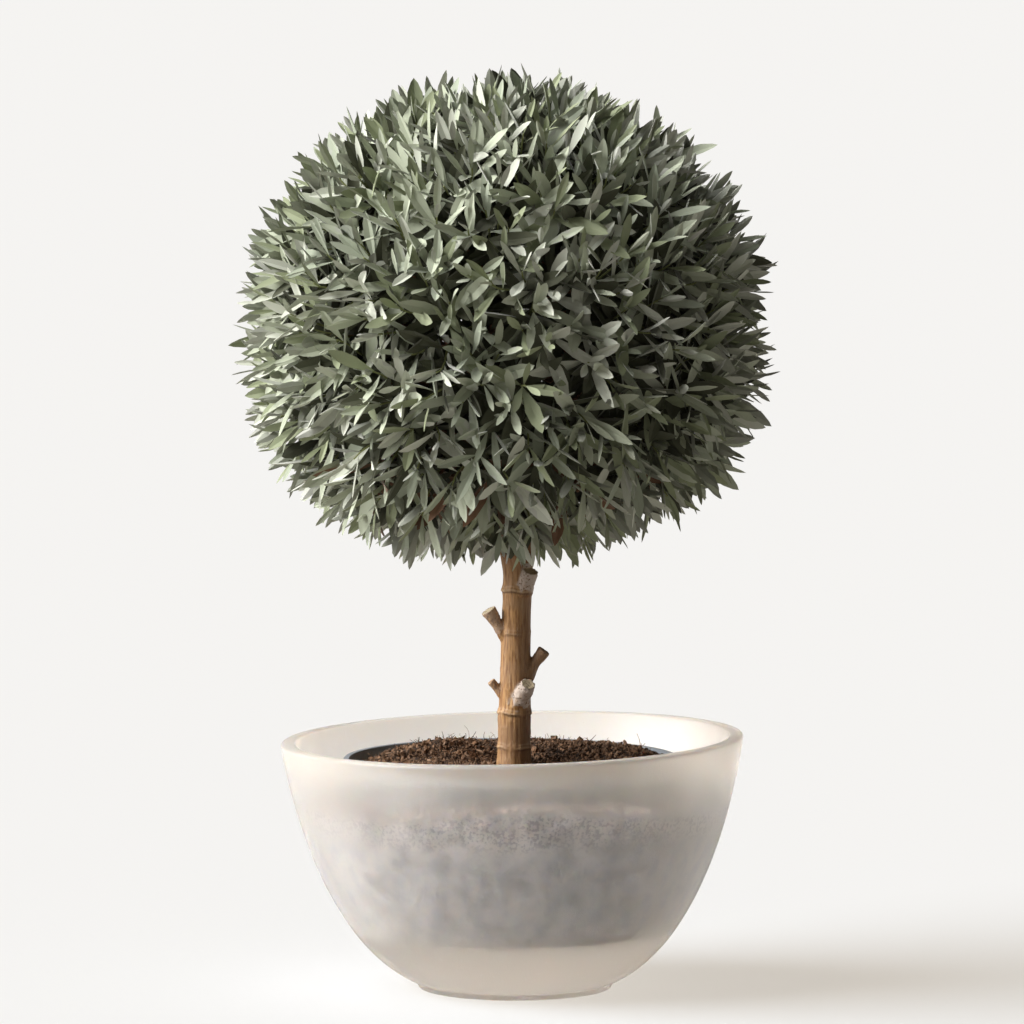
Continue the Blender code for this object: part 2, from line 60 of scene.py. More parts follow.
# %% Camera
LENS = 246.1
SENSOR_WIDTH = 36.0
FARTHEST_SEEN = 1000.0
CAMERA_DISTANCE = 7.0
CAMERA_PITCH = math.radians(5.0)
CAMERA_AIM = Vector((0.0, 0.0, 0.47852))

camera = bpy.data.objects.new("camera", bpy.data.cameras.new("camera"))
bpy.context.scene.collection.objects.link(camera)
bpy.context.scene.camera = camera
camera.data.lens = LENS
camera.data.sensor_width = SENSOR_WIDTH
camera.data.clip_end = FARTHEST_SEEN
camera.rotation_euler = (math.pi / 2 - CAMERA_PITCH, 0.0, 0.0)
camera.location = CAMERA_AIM + CAMERA_DISTANCE * Vector(
    (0.0, -math.cos(CAMERA_PITCH), math.sin(CAMERA_PITCH))
)
print("camera at", [round(x, 3) for x in camera.location])

# %% Key light, fill and sky
# name, strength, disc, height and turn from straight ahead towards the object's left, colour
LIGHTS = (
    ("key_light", 6.3, 50, 35, -82, (1.0, 0.99, 0.98)),
    ("low_fill", 0.9, 60, 9, -84, (1.0, 0.985, 0.96)),
)
SKY = (1.0, 0.95, 0.88)
SKY_STRENGTH = 0.04
SKY_BEHIND_RESIN = 0.75  # added for rays that come through the resin, as from pale studio walls

for name, strength, disc, height, turn, colour in LIGHTS:
    height, turn = math.radians(height), math.radians(turn)
    level = math.cos(height)
    light_from = Vector((math.sin(turn) * level, -math.cos(turn) * level, math.sin(height)))
    lamp = bpy.data.objects.new(name, bpy.data.lights.new(name, "SUN"))
    lamp.data.energy = strength
    lamp.data.angle = math.radians(disc)
    lamp.data.color = colour
    lamp.rotation_euler = light_from.to_track_quat("Z", "Y").to_euler()
    bpy.context.scene.collection.objects.link(lamp)
    print(name, "shines from", [round(x, 2) for x in light_from])

world = bpy.data.worlds.new("studio")
world.use_nodes = True
world.node_tree.nodes["Background"].inputs["Color"].default_value = (*SKY, 1.0)
bpy.context.scene.world = world
bpy.context.scene.view_settings.view_transform = "Standard"

# %% [markdown]
# ## Shader arithmetic
#
# A procedural finish is a sum of noises and masks. Adding Math nodes one by one hides that sum,
# so a small class wraps a socket and overloads the operators: `1 - mask * 0.3` then builds its
# own Math nodes. Colours are blended with Mix nodes, because a Math node would turn them grey.

# %% A wrapped socket
class Wire:
    """One socket of a node tree, on which arithmetic adds Math nodes."""

    def __init__(self, tree, socket=None):
        self.tree = tree
        self.socket = socket

    def node(self, kind, settings=None, inputs=None, output=0):
        """Add a node: its settings first, then its sockets, from wires or plain values."""
        made = self.tree.nodes.new("ShaderNode" + kind)
        for name, value in (settings or {}).items():
            setattr(made, name, value)
        for key, value in (inputs or {}).items():
            if isinstance(value, Wire):
                self.tree.links.new(value.socket, made.inputs[key])
            else:
                made.inputs[key].default_value = value
        return Wire(self.tree, made.outputs[output])

    def math(self, operation, *values):
        """One Math node with this operation on the values."""
        return self.node("Math", {"operation": operation}, dict(enumerate(values)))

    def __add__(self, other):
        return self.math("ADD", self, other)

    def __sub__(self, other):
        return self.math("SUBTRACT", self, other)

    def __rsub__(self, other):
        return self.math("SUBTRACT", other, self)

    def __mul__(self, other):
        return self.math("MULTIPLY", self, other)

    __radd__ = __add__
    __rmul__ = __mul__

    def ramp(self, low, high):
        """0 below low, 1 above high, and a smooth step between them."""
        settings = {"interpolation_type": "SMOOTHSTEP"}
        return self.node("MapRange", settings, {"Value": self, "From Min": low, "From Max": high})

    def noise(self, size, detail=2.0, stretch=(1.0, 1.0, 1.0), seed=0.0):
        """Noise from about 0.2 to 0.8, whose spots have this size in metres, longer by stretch."""
        scale = tuple(1.0 / (size * s) for s in stretch)
        spot = self.node("Mapping", None, {"Vector": self, "Location": (seed,) * 3, "Scale": scale})
        return self.node("TexNoise", None, {"Vector": spot, "Scale": 1.0, "Detail": detail})

    def part(self, axis):
        """The X, Y or Z of a place."""
        return self.node("SeparateXYZ", None, {"Vector": self}, output=axis)

    def blend(self, colour_a, colour_b):
        """Colour a where this wire is 0, and colour b where it is 1.

        A Mix node holds sockets for every kind of value. Those for colours are 6, 7 and output 2.
        """
        ends = {0: self, 6: opaque(colour_a), 7: opaque(colour_b)}
        return self.node("Mix", {"data_type": "RGBA"}, ends, output=2)


print("a wire can", ", ".join(name for name in vars(Wire) if not name.startswith("_")))

# %% Finishes
def opaque(colour):
    """A colour's three numbers with an alpha of 1, or its wire as it is."""
    return colour if isinstance(colour, Wire) else (*colour, 1.0)


def new_finish(name, **constants):
    """A Principled material with these constant sockets, and a wire of its Object coordinates."""
    finish = bpy.data.materials.new(name)
    finish.use_nodes = True
    shader = finish.node_tree.nodes["Principled BSDF"]
    for socket, value in constants.items():
        shader.inputs[socket.replace("_", " ")].default_value = value
    place = Wire(finish.node_tree).node("TexCoord", output="Object")
    return finish, place


def feed(finish, **wires):
    """Link wires to the sockets of the finish's shader."""
    shader = finish.node_tree.nodes["Principled BSDF"]
    for socket, wire in wires.items():
        finish.node_tree.links.new(wire.socket, shader.inputs[socket.replace("_", " ")])


def painted(colour, *layers):
    """Colours laid over a first one in turn, each as strong as its own mask."""
    for mask, over in layers:
        colour = mask.blend(colour, over)
    return colour


def bumped(height, depth):
    """A Normal from a height wire that runs from 0 to 1, for relief of this depth in metres."""
    return height.node("Bump", None, {"Height": height, "Distance": depth, "Strength": 1.0})


print("an opaque grey:", opaque((0.5, 0.5, 0.5)))

# %% Sky strength
through = Wire(world.node_tree).node("LightPath", output="Is Transmission Ray")
strength = through * SKY_BEHIND_RESIN + SKY_STRENGTH
world.node_tree.links.new(strength.socket, world.node_tree.nodes["Background"].inputs["Strength"])
print("sky:", SKY_STRENGTH, "and", SKY_BEHIND_RESIN, "more behind the resin")

# %% [markdown]
# ## From arrays to meshes
#
# Blender can add vertices one at a time, but a crown has well over a hundred thousand. Whole
# arrays go in at once with `foreach_set`. Most pieces here are rings of points joined by quads:
# a turned bowl, a tube along a path, a leaf. So the faces of rings are worked out once, by
# index sums.

# %% Meshes from arrays
def mesh_object(name, points, faces, finishes, face_finish=None, crease=None):
    """An object from points and a list of face arrays, each array with one number of corners.

    face_finish holds the number of each face's material. Edges that bend more than crease
    degrees stay sharp.
    """
    points = np.asarray(points, np.float32).reshape(-1, 3)
    corners = np.concatenate([np.ravel(group) for group in faces]).astype(np.int32)
    counts = np.concatenate([np.full(len(group), np.shape(group)[1]) for group in faces])
    starts = np.concatenate([[0], np.cumsum(counts)[:-1]]).astype(np.int32)
    mesh = bpy.data.meshes.new(name)
    mesh.vertices.add(len(points))
    mesh.vertices.foreach_set("co", points.ravel())
    mesh.loops.add(len(corners))
    mesh.loops.foreach_set("vertex_index", corners)
    mesh.polygons.add(len(starts))
    mesh.polygons.foreach_set("loop_start", starts)
    for finish in finishes:
        mesh.materials.append(finish)
    if face_finish is not None:
        mesh.polygons.foreach_set("material_index", np.asarray(face_finish, np.int32))
    mesh.update(calc_edges=True)
    mesh.validate()
    mesh.shade_smooth()
    if crease is not None:
        mesh.set_sharp_from_angle(angle=math.radians(crease))
    piece = bpy.data.objects.new(name, mesh)
    bpy.context.scene.collection.objects.link(piece)
    return piece


def store(mesh, **masks):
    """Keep one number for each point under each name, for a finish to read."""
    for name, values in masks.items():
        kept = mesh.attributes.new(name, "FLOAT", "POINT")
        kept.data.foreach_set("value", np.asarray(values, np.float32))


def stored(place, name):
    """A wire of the numbers that were kept under this name."""
    return place.node("Attribute", {"attribute_name": name}, output="Fac")


def fit(piece, slot, *nodes):
    """A piece rides on the body and stands for the named nodes. The slot is not used."""
    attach(piece, "root")
    if nodes:
        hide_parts(*nodes)
    print(f"{piece.name}: {len(piece.data.polygons):,} faces")
    return piece


print("mesh kit ready")

# %% Rings, tubes and turned solids
LEAST_LENGTH = 1e-9  # keeps a vector without length from being divided by nought


def columns(*parts):
    """Arrays or numbers side by side as the last axis, such as x, y and z."""
    return np.stack(np.broadcast_arrays(*parts), axis=-1)


def level_reach(points):
    """How far points lie from the upright axis."""
    return np.hypot(points[..., 0], points[..., 1])


def unit(vectors):
    """Vectors divided by their lengths."""
    return vectors / np.maximum(np.linalg.norm(vectors, axis=-1, keepdims=True), LEAST_LENGTH)


def ring_faces(count, rows, sides):
    """Faces of `count` tubes, each of `rows` rings with `sides` points, numbered in that order.

    A quad joins points a and b of one ring to those above them: a, b, b + sides, a + sides.
    Each end is closed by one face.
    """
    first = np.arange(count)[:, None, None] * rows * sides
    ring = np.arange(rows - 1)[None, :, None] * sides
    step = np.arange(sides)[None, None, :]
    a = first + ring + step
    b = first + ring + (step + 1) % sides
    quads = columns(a, b, b + sides, a + sides).reshape(-1, 4)
    tube = np.arange(count)[:, None] * rows * sides
    low_end = tube + np.arange(sides)[::-1]
    high_end = tube + (rows - 1) * sides + np.arange(sides)
    return [quads, np.concatenate([low_end, high_end])]


def tubes(paths, radii, sides):
    """Rings of points round many paths: (count, rows, 3) with radii (count, rows).

    The direction at a row is the difference of its neighbours. The ring's first axis is a fixed
    side vector less its part along that direction, and the second axis is square to both. A
    point is the path plus the radius times cosine and sine along those two axes.
    """
    ahead = unit(np.gradient(paths, axis=1))
    mean = unit(ahead.mean(axis=1))
    least = np.eye(3)[np.argmin(np.abs(mean), axis=1)][:, None, :]
    across = unit(least - (least * ahead).sum(-1, keepdims=True) * ahead)
    beside = np.cross(ahead, across)
    turn = np.arange(sides) * 2 * math.pi / sides
    spoke = (
        np.cos(turn)[:, None] * across[:, :, None, :] + np.sin(turn)[:, None] * beside[:, :, None, :]
    )
    return paths[:, :, None, :] + radii[:, :, None, None] * spoke


def turned(profile, steps):
    """A solid of revolution from (radius, height) points that start and end on the axis.

    The profile runs up the inside and down the outside. Every point but the two poles becomes
    a ring: x is radius times cosine, y is radius times sine. Returns points and faces.
    """
    profile = np.asarray(profile, float)
    turn = np.arange(steps) * 2 * math.pi / steps
    rings = profile[1:-1]
    x = rings[:, :1] * np.cos(turn)
    y = rings[:, :1] * np.sin(turn)
    z = np.repeat(rings[:, 1:], steps, axis=1)
    poles = [[0.0, 0.0, profile[0, 1]], [0.0, 0.0, profile[-1, 1]]]
    points = np.concatenate([poles, columns(x, y, z).reshape(-1, 3)])
    step = np.arange(steps)
    after = (step + 1) % steps
    ring = 2 + np.arange(len(rings) - 1)[:, None] * steps
    quads = columns(ring + step, ring + steps + step, ring + steps + after, ring + after)
    last = 2 + (len(rings) - 1) * steps
    first_fan = columns(0, 2 + step, 2 + after)
    last_fan = columns(1, last + after, last + step)
    return points, [quads.reshape(-1, 4), first_fan, last_fan]


print("a tube of 3 rings and 4 sides has", sum(len(group) for group in ring_faces(1, 3, 4)), "faces")

# %% [markdown]
# ## Noise for shapes
#
# Bark, soil and a hand-clipped ball are uneven. Shader noise only colours a surface, so real
# relief needs noise that numpy can work out for every vertex at once: a random number at each
# corner of a lattice, blended smoothly inside the cells.

# %% Lattice noise
def corner_value(cell, seed):
    """A number from 0 to 1 for a lattice corner: its indices times large primes, bits mixed."""
    cell = cell.astype(np.int64)
    mixed = cell[..., 0] * 73856093 ^ cell[..., 1] * 19349663 ^ cell[..., 2] * 83492791
    mixed = mixed ^ (seed * 2654435761)
    mixed = ((mixed ^ (mixed >> 13)) & 0xFFFFFFFF) * 1274126177
    mixed = mixed ^ (mixed >> 16)
    return (mixed & 0xFFFFFF) / float(0xFFFFFF)


def smooth_step(share):
    """0 to 1 without corners: three times the square less twice the cube."""
    return share * share * (3 - 2 * share)


def bell(distance, width):
    """1 at no distance, falling off as a bell curve of this width."""
    return np.exp(-((distance / width) ** 2))


def cloud(points, size, seed=0):
    """Smooth noise from -1 to 1 with spots of this size, which may differ by axis.

    Each lattice corner's number is weighted by the product, over the axes, of the smooth step
    of the point's share of the way to that corner.
    """
    spot = np.asarray(points) / np.asarray(size)
    cell = np.floor(spot)
    share = smooth_step(spot - cell)
    total = np.zeros(spot.shape[:-1])
    for corner in np.ndindex(2, 2, 2):
        side = np.array(corner)
        weight = np.where(side == 1, share, 1 - share).prod(axis=-1)
        total += weight * corner_value(cell + side, seed)
    return 2 * total - 1


print("noise at the origin:", cloud(np.zeros((1, 3)), 0.01))

# %% [markdown]
# ## Floor
#
# The floor is a plain pale sheet, so wide that its edge never shows. It is part of the stage
# and not of the object. A studio's white walls fill its shadows from all round. Here the floor
# glows a little by itself instead, which keeps the shadow pale. A glowing floor would light the
# plant from below, so a Light Path node tells the kinds of ray apart: rays that left a matt
# surface find no glow, and a duller, warmer floor. That leaves the plant's own shade deep.

# %% Floor
FLOOR_REACH = 240.0
FLOOR_DROP = 0.0002  # just under the foot, so that the two faces don't fight
FLOOR_COLOUR = (0.255, 0.285, 0.322)
FLOOR_GLOW = (0.595, 0.550, 0.490)
FLOOR_BOUNCE = (0.250, 0.235, 0.215)  # the floor as matt surfaces meet it, warmer and duller
floor_finish, floor_place = new_finish(
    "pale_floor", Roughness=0.9, Specular_IOR_Level=0.0, Emission_Color=opaque(FLOOR_GLOW)
)
floor = mesh_object(
    "floor",
    [(x * FLOOR_REACH, y * FLOOR_REACH, -FLOOR_DROP) for x, y in ((-1, -1), (1, -1), (1, 1), (-1, 1))],
    [np.array([[0, 1, 2, 3]])],
    [floor_finish],
)
scattered = floor_place.node("LightPath", output="Is Diffuse Ray")
feed(
    floor_finish,
    Base_Color=scattered.blend(FLOOR_COLOUR, FLOOR_BOUNCE),
    Emission_Strength=1.0 - scattered,
)
print("floor:", FLOOR_REACH * 2, "m wide")

# %% [markdown]
# ## Frosted bowl
#
# The bowl is cast resin about 14 mm thick, blasted dull on both sides. Its outline is one cubic
# curve from the foot to the rim. A lathe profile turned round the axis is the obvious way to
# make it, and here the profile is an array: floor, inner wall, rounded lip, outer wall, foot.
# The casting is a little out of true, so each level is shifted and tilted by its height.

# %% Bowl shape
BOWL_RIM_RADIUS = 0.2325
BOWL_HEIGHT = 0.252
BOWL_WALL = 0.0145
BELLY_LOW = (0.195, 0.051)
BELLY_HIGH = (0.226, 0.208)
BOWL_FLOOR = 0.0610
BOWL_CORNER = 0.009
FOOT_RADIUS = 0.0975
FOOT_SHOULDER = 0.1035
FOOT_HEIGHT = 0.0075
WALL_TOP_SHARE = 0.975
LIP_SQUARENESS = 2.6
RIM_TILT = 0.0216
FOOT_OFFSET = 0.0032
BOWL_STEPS = 224
WALL_UNEVEN = (0.05, 0.0004)  # size of the swells in the casting, and their depth
GAP = 0.0003  # left between two solids that touch


def cubic(start, handle_a, handle_b, end, share):
    """Points of a cubic curve: its four points weighted by powers of the share and its rest."""
    share = np.asarray(share)[..., None]
    rest = 1 - share
    low = rest**3 * start + 3 * rest**2 * share * handle_a
    return low + 3 * rest * share**2 * handle_b + share**3 * end


def wall_curve(inset, first, last, count):
    """The bowl's outer curve moved inwards, square to itself, by the inset."""
    foot = np.array([FOOT_SHOULDER, FOOT_HEIGHT])
    rim = np.array([BOWL_RIM_RADIUS, BOWL_HEIGHT])
    share = np.linspace(first, last, count)
    line = cubic(foot, np.array(BELLY_LOW), np.array(BELLY_HIGH), rim, share)
    along = unit(np.gradient(line, axis=0))
    return line + inset * columns(-along[:, 1], along[:, 0])


def inner_wall(inset, floor_height, top=BOWL_HEIGHT, count=48):
    """The part of an inset wall curve that lies between two heights."""
    line = wall_curve(inset, 0.0, WALL_TOP_SHARE, 400)
    heights = np.linspace(floor_height, min(top, line[-1, 1]), count)
    return columns(np.interp(heights, line[:, 1], line[:, 0]), heights)


def cast_askew(points):
    """Tilt and shift each level by its height, which leaves the underside flat."""
    share = points[..., 2] / BOWL_HEIGHT
    askew = points.copy()
    askew[..., 2] += points[..., 0] * RIM_TILT * share
    askew[..., 0] += FOOT_OFFSET * (1 - share)
    return askew


print("the wall starts at", inner_wall(BOWL_WALL, BOWL_FLOOR)[0].round(4))

# %% Bowl profile
def bowl_profile():
    """Floor, inner wall, a lip that is a squared half circle, outer wall and foot."""
    inside = inner_wall(BOWL_WALL, BOWL_FLOOR + BOWL_CORNER)
    outside = wall_curve(0.0, 0.0, WALL_TOP_SHARE, 64)[::-1]
    middle = (inside[-1, 0] + outside[0, 0]) / 2
    half = (outside[0, 0] - inside[-1, 0]) / 2
    turn = np.linspace(math.pi, 0, 15)[1:-1]
    power = 2 / LIP_SQUARENESS
    lip_r = middle + half * np.sign(np.cos(turn)) * np.abs(np.cos(turn)) ** power
    lip_z = outside[0, 1] + (BOWL_HEIGHT - outside[0, 1]) * np.sin(turn) ** power
    inner = inside[0, 0]
    round_off = np.linspace(0, math.pi / 2, 8)[:-1]
    corner_r = inner - BOWL_CORNER * (1 - np.sin(round_off))
    corner_z = BOWL_FLOOR + BOWL_CORNER * (1 - np.cos(round_off))
    corner = columns(corner_r, corner_z)
    centre = [(0.0, BOWL_FLOOR), (inner * 0.5, BOWL_FLOOR)]
    foot = [
        (FOOT_SHOULDER - 0.0025, FOOT_HEIGHT - 0.0009),
        (FOOT_SHOULDER - 0.0048, FOOT_HEIGHT - 0.0026),
        (FOOT_RADIUS, 0.0020),
        (FOOT_RADIUS - 0.0006, 0.0006),
        (FOOT_RADIUS - 0.0020, 0.0),
        (FOOT_RADIUS * 0.5, 0.0),
        (0.0, 0.0),
    ]
    lip = columns(lip_r, lip_z)
    return np.concatenate([centre, corner, inside, lip, outside, foot])


bowl_points, bowl_faces = turned(bowl_profile(), BOWL_STEPS)
above_foot = np.clip(bowl_points[:, 2] / FOOT_HEIGHT - 1, 0, 1)[:, None]
outward = bowl_points * [1.0, 1.0, 0.0]
swell = cloud(bowl_points, WALL_UNEVEN[0], 3) * WALL_UNEVEN[1]
bowl_points += unit(outward) * swell[:, None] * above_foot
bowl_reach = level_reach(bowl_points)
outer_wall = wall_curve(0.0, 0.0, 1.0, 200)
wall_depth = np.interp(bowl_points[:, 2], outer_wall[:, 1], outer_wall[:, 0]) - bowl_reach
inner_face = np.clip(wall_depth / BOWL_WALL, 0, 1)
bowl_points = cast_askew(bowl_points)
print("bowl:", len(bowl_points), "points,", round(float(bowl_points[:, 2].max()), 4), "m high")

# %% [markdown]
# Frosted resin lets light in and scatters it. Clear glass with a rough surface does the same:
# rays bend by a random angle, so what touches the wall shows and what stands back blurs. About
# an eighth isn't glass but scatters light below its surface, and up to a tenth at the rim is
# plain milk. A ray finds a lamp through glass only by chance, which is dim and noisy. So rays
# sent straight to a lamp pass the wall as if it were clear, with a tint. Damp patches, dry
# fines, scuffs and pits are laid over the colour one after another, each by its own noise.

# %% Bowl finish
LEAST_FROST = 0.295  # a smoother wall would show its contents sharply
MILK_COLOUR = (0.82, 0.76, 0.69)
LAMP_TINT = (0.91, 0.86, 0.805)

resin, place = new_finish(
    "frosted_resin_finish", Transmission_Weight=0.88, IOR=1.4,
    Subsurface_Weight=1.0, Subsurface_Scale=0.03, Subsurface_Radius=(1.0, 0.72, 0.46),
)
grazing = place.node("LayerWeight", None, {"Blend": 0.5}, output="Facing")
inside = stored(place, "inner_face")
dry_band = stored(place, "fines")
level = place.part("Z")
base = 1.0 - level.ramp(0.030, 0.090)
rim = level.ramp(0.205, 0.252)
mottle = place.noise(0.045, 4.0, (1.0, 1.0, 2.0), seed=2.0)
stains = place.noise(0.017, 5.0, (1.0, 1.0, 1.7), seed=14.0).ramp(0.42, 0.68)
damp = stains * level.ramp(0.066, 0.078) * (1.0 - level.ramp(0.150, 0.175))
specks = place.noise(0.0033, 2.0, seed=21.0) * 0.72 + place.noise(0.011, 2.0, seed=22.0) * 0.28
scuffs = place.noise(0.004, 2.0, (1.0, 1.0, 9.0), seed=5.0).ramp(0.66, 0.74)
pits = place.noise(0.0022, 1.0, seed=9.0).ramp(0.79, 0.83)
milk = mottle.ramp(0.3, 0.7)
tone = painted(
    milk.blend((0.845, 0.827, 0.806), (0.895, 0.880, 0.862)),
    (damp * 0.9, (0.76, 0.765, 0.79)),
    (dry_band * (1.0 - specks.ramp(0.43, 0.50)), (0.57, 0.545, 0.565)),
    (dry_band * specks.ramp(0.50, 0.56), (1.0, 0.950, 0.925)),
    (base * 0.9, (0.870, 0.805, 0.735)),
    (rim * 0.6, (0.94, 0.885, 0.825)),
    (scuffs * 0.35, (0.97, 0.95, 0.93)),
    (pits * 0.5, (0.55, 0.46, 0.38)),
)
feed(
    resin,
    Base_Color=tone,
    Roughness=grazing * grazing * 0.25 + inside * 0.05 + milk * 0.03 + LEAST_FROST,
    Normal=bumped(place.noise(0.0012, 2.0), 0.0002),
)


def add_milk(finish, share, colour):
    """Mix a dull opaque shader of this colour over the finish, by a share that may vary."""
    tree = finish.node_tree
    shader = Wire(tree, tree.nodes["Principled BSDF"].outputs[0])
    dull = shader.node("BsdfPrincipled", None, {"Base Color": opaque(colour), "Roughness": 0.6})
    mixed = shader.node("MixShader", None, {0: share, 1: shader, 2: dull})
    tree.links.new(mixed.socket, tree.nodes["Material Output"].inputs["Surface"])


def let_light_through(finish, colour):
    """Rays towards the lamp pass the finish as if it were clear, tinted by this colour."""
    tree = finish.node_tree
    surface = tree.nodes["Material Output"].inputs["Surface"]
    shader = Wire(tree, surface.links[0].from_socket)
    to_lamp = shader.node("LightPath", output="Is Shadow Ray")
    clear = shader.node("BsdfTransparent", None, {"Color": opaque(colour)})
    mixed = shader.node("MixShader", None, {0: to_lamp, 1: shader, 2: clear})
    tree.links.new(mixed.socket, surface)


add_milk(resin, rim * 0.08 + milk * 0.03, MILK_COLOUR)
let_light_through(resin, LAMP_TINT)
bowl = mesh_object("frosted_bowl", bowl_points, bowl_faces, [resin], crease=50)
store(bowl.data, inner_face=inner_face)
fit(bowl, "frosted_resin", "bowl")

# %% [markdown]
# ## Nursery pot
#
# The plant was sold in a thin grey pot, and still stands in it. It is another turned profile,
# with a turned-out rim and a wall two millimetres thick.

# %% Nursery pot
POT_RIM_RADIUS = 0.165
POT_BASE_RADIUS = 0.125
POT_BASE = 0.068
POT_TOP = 0.231
POT_WALL = 0.002
POT_RIM_LIP = 0.004
POT_RIM_DEPTH = 0.009
POT_CORNER = 0.003
POT_EDGE = 0.0006
POT_STEPS = 160


def pot_radius(height):
    """The pot's outer radius, which grows evenly with height."""
    share = (height - POT_BASE) / (POT_TOP - POT_BASE)
    return POT_BASE_RADIUS + (POT_RIM_RADIUS - POT_BASE_RADIUS) * share


def pot_profile():
    """Floor, inner wall, rolled rim and outer wall, with small radii at the edges."""
    floor = POT_BASE + POT_WALL
    rim_low = POT_TOP - POT_RIM_DEPTH
    outer = POT_RIM_RADIUS + POT_RIM_LIP
    soft = POT_EDGE
    return [
        (0.0, floor),
        (pot_radius(floor) - POT_WALL - POT_CORNER, floor),
        (pot_radius(floor) - POT_WALL, floor + POT_CORNER),
        (pot_radius(POT_TOP) - POT_WALL, POT_TOP - soft),
        (pot_radius(POT_TOP) - POT_WALL + soft, POT_TOP),
        (outer - soft, POT_TOP),
        (outer, POT_TOP - soft),
        (outer, rim_low + soft),
        (outer - soft, rim_low),
        (pot_radius(rim_low) + soft, rim_low),
        (pot_radius(rim_low), rim_low - soft),
        (POT_BASE_RADIUS, POT_BASE + soft),
        (POT_BASE_RADIUS - soft, POT_BASE),
        (0.0, POT_BASE),
    ]


plastic, place = new_finish("grey_pot_finish", IOR=1.46)
dust = place.noise(0.018, 4.0, seed=4.0).ramp(0.45, 0.68)
grain = place.noise(0.0009, 2.0, (1.0, 1.0, 3.0))
feed(
    plastic,
    Base_Color=(dust * 0.6).blend((0.250, 0.280, 0.315), (0.42, 0.415, 0.41)),
    Roughness=dust * 0.25 + 0.42,
    Normal=bumped(grain, 0.0002),
)
pot = mesh_object("nursery_pot_shell", *turned(pot_profile(), POT_STEPS), [plastic], crease=40)
fit(pot, "grey_plastic", "nursery_pot")

# %% [markdown]
# ## Small lumps and fibres
#
# Compost and bark are heaps of small things. Thousands of separate objects would be slow, and a
# noise on a flat disc looks like a carpet. The middle way is one joined mesh: a twenty-faced
# lump is copied as an array, and every copy is stretched, dented and turned by its own numbers.

# %% Lumps
GOLDEN = (1 + math.sqrt(5)) / 2


def icosahedron():
    """Twelve corners, the cyclic orders of (0, +-1, +-golden ratio), and their twenty faces."""
    flat = [(0, a, b * GOLDEN) for a in (-1, 1) for b in (-1, 1)]
    corners = np.array([np.roll(p, k) for k in range(3) for p in flat], float)
    gaps = np.linalg.norm(corners[:, None] - corners[None], axis=-1)
    near = np.abs(gaps - 2) < 0.01
    found = [
        (i, j, k)
        for i in range(12) for j in range(i + 1, 12) for k in range(j + 1, 12)
        if near[i, j] and near[j, k] and near[i, k]
    ]
    faces = np.array(found)
    a, b, c = (corners[faces[:, i]] for i in range(3))
    inward = (np.cross(b - a, c - a) * a).sum(axis=1) < 0
    faces[inward] = faces[inward][:, ::-1]
    return unit(corners), faces


def random_turns(count):
    """Random rotation matrices: the frames of random vectors made square to each other."""
    first = unit(rng.normal(size=(count, 3)))
    second = unit(np.cross(first, rng.normal(size=(count, 3))))
    return columns(first, second, np.cross(first, second))


def lumps(centres, sizes, turns, roughness=0.28):
    """Dented ellipsoids: each corner of the twenty-faced lump is moved out or in, scaled, turned."""
    corners, faces = icosahedron()
    dents = 1 + roughness * rng.uniform(-1, 1, (len(centres), len(corners), 1))
    shaped = corners * dents * sizes[:, None, :]
    points = centres[:, None, :] + np.einsum("nij,nkj->nki", turns, shaped)
    index = faces[None] + np.arange(len(centres))[:, None, None] * len(corners)
    return points, index.reshape(-1, 3)


def ring_spots(count, inner, outer):
    """Random places spread evenly over the ring between two radii."""
    reach = np.sqrt(rng.uniform(inner**2, outer**2, count))
    turn = rng.uniform(0, 2 * math.pi, count)
    return columns(reach * np.cos(turn), reach * np.sin(turn))


print("a lump has", len(icosahedron()[1]), "faces")

# %% [markdown]
# ## Compost
#
# The root ball fills the pot with dark peat. Its surface is level at the trunk and humped round
# it, with crumbs, chips and pale root fibres on top, which break its edge against the light.

# %% Compost bed
SOIL_LEVEL = 0.222
SOIL_EDGE_DROP = 0.003
SOIL_HEAP = 0.016  # rise at the pot's wall where the compost is heaped over the rim
SOIL_HEAP_TURN = math.radians(48)
SOIL_HEAP_SPREAD = math.radians(38)
SOIL_SEAT_RADIUS = 0.0245
SOIL_HUMPS = (
    (-0.062, 0.052, 0.046, 0.016),
    (0.048, 0.060, 0.045, 0.010),
    (0.000, 0.110, 0.080, 0.011),
    (0.115, 0.040, 0.040, 0.011),
    (-0.110, 0.020, 0.035, 0.012),
    (-0.085, -0.060, 0.050, 0.006),
    (0.060, -0.085, 0.045, 0.005),
)
SOIL_RELIEF_MEAN = 0.002
SOIL_RINGS = 84
SOIL_STEPS = 256


def soil_height(x, y):
    """Level, less a drop at the pot's wall, plus humps that fall off as a bell curve.

    On one side the compost is heaped up at the wall instead, by a bell of the turn about the pot.
    """
    reach = np.hypot(x, y)
    heap = SOIL_HEAP * bell(np.arctan2(y, x) - SOIL_HEAP_TURN, SOIL_HEAP_SPREAD)
    edge = np.minimum(1.0, reach / pot_radius(SOIL_LEVEL)) ** 8
    humps = sum(
        rise * np.exp(-((x - hump_x) ** 2 + (y - hump_y) ** 2) / spread**2)
        for hump_x, hump_y, spread, rise in SOIL_HUMPS
    )
    seat = np.clip(reach / SOIL_SEAT_RADIUS - 1, 0, 1)
    return SOIL_LEVEL + (heap - SOIL_EDGE_DROP) * edge + humps * seat * (1 - edge)


def soil_relief(points):
    """Crumbly relief: broad noise, and two finer ones creased by dropping their sign."""
    broad = cloud(points, 0.016, 21) * 0.0016
    crumb = np.abs(cloud(points, 0.0055, 22)) * 0.0030
    grit = np.abs(cloud(points, 0.0024, 23)) * 0.0016
    return broad + crumb + grit - SOIL_RELIEF_MEAN


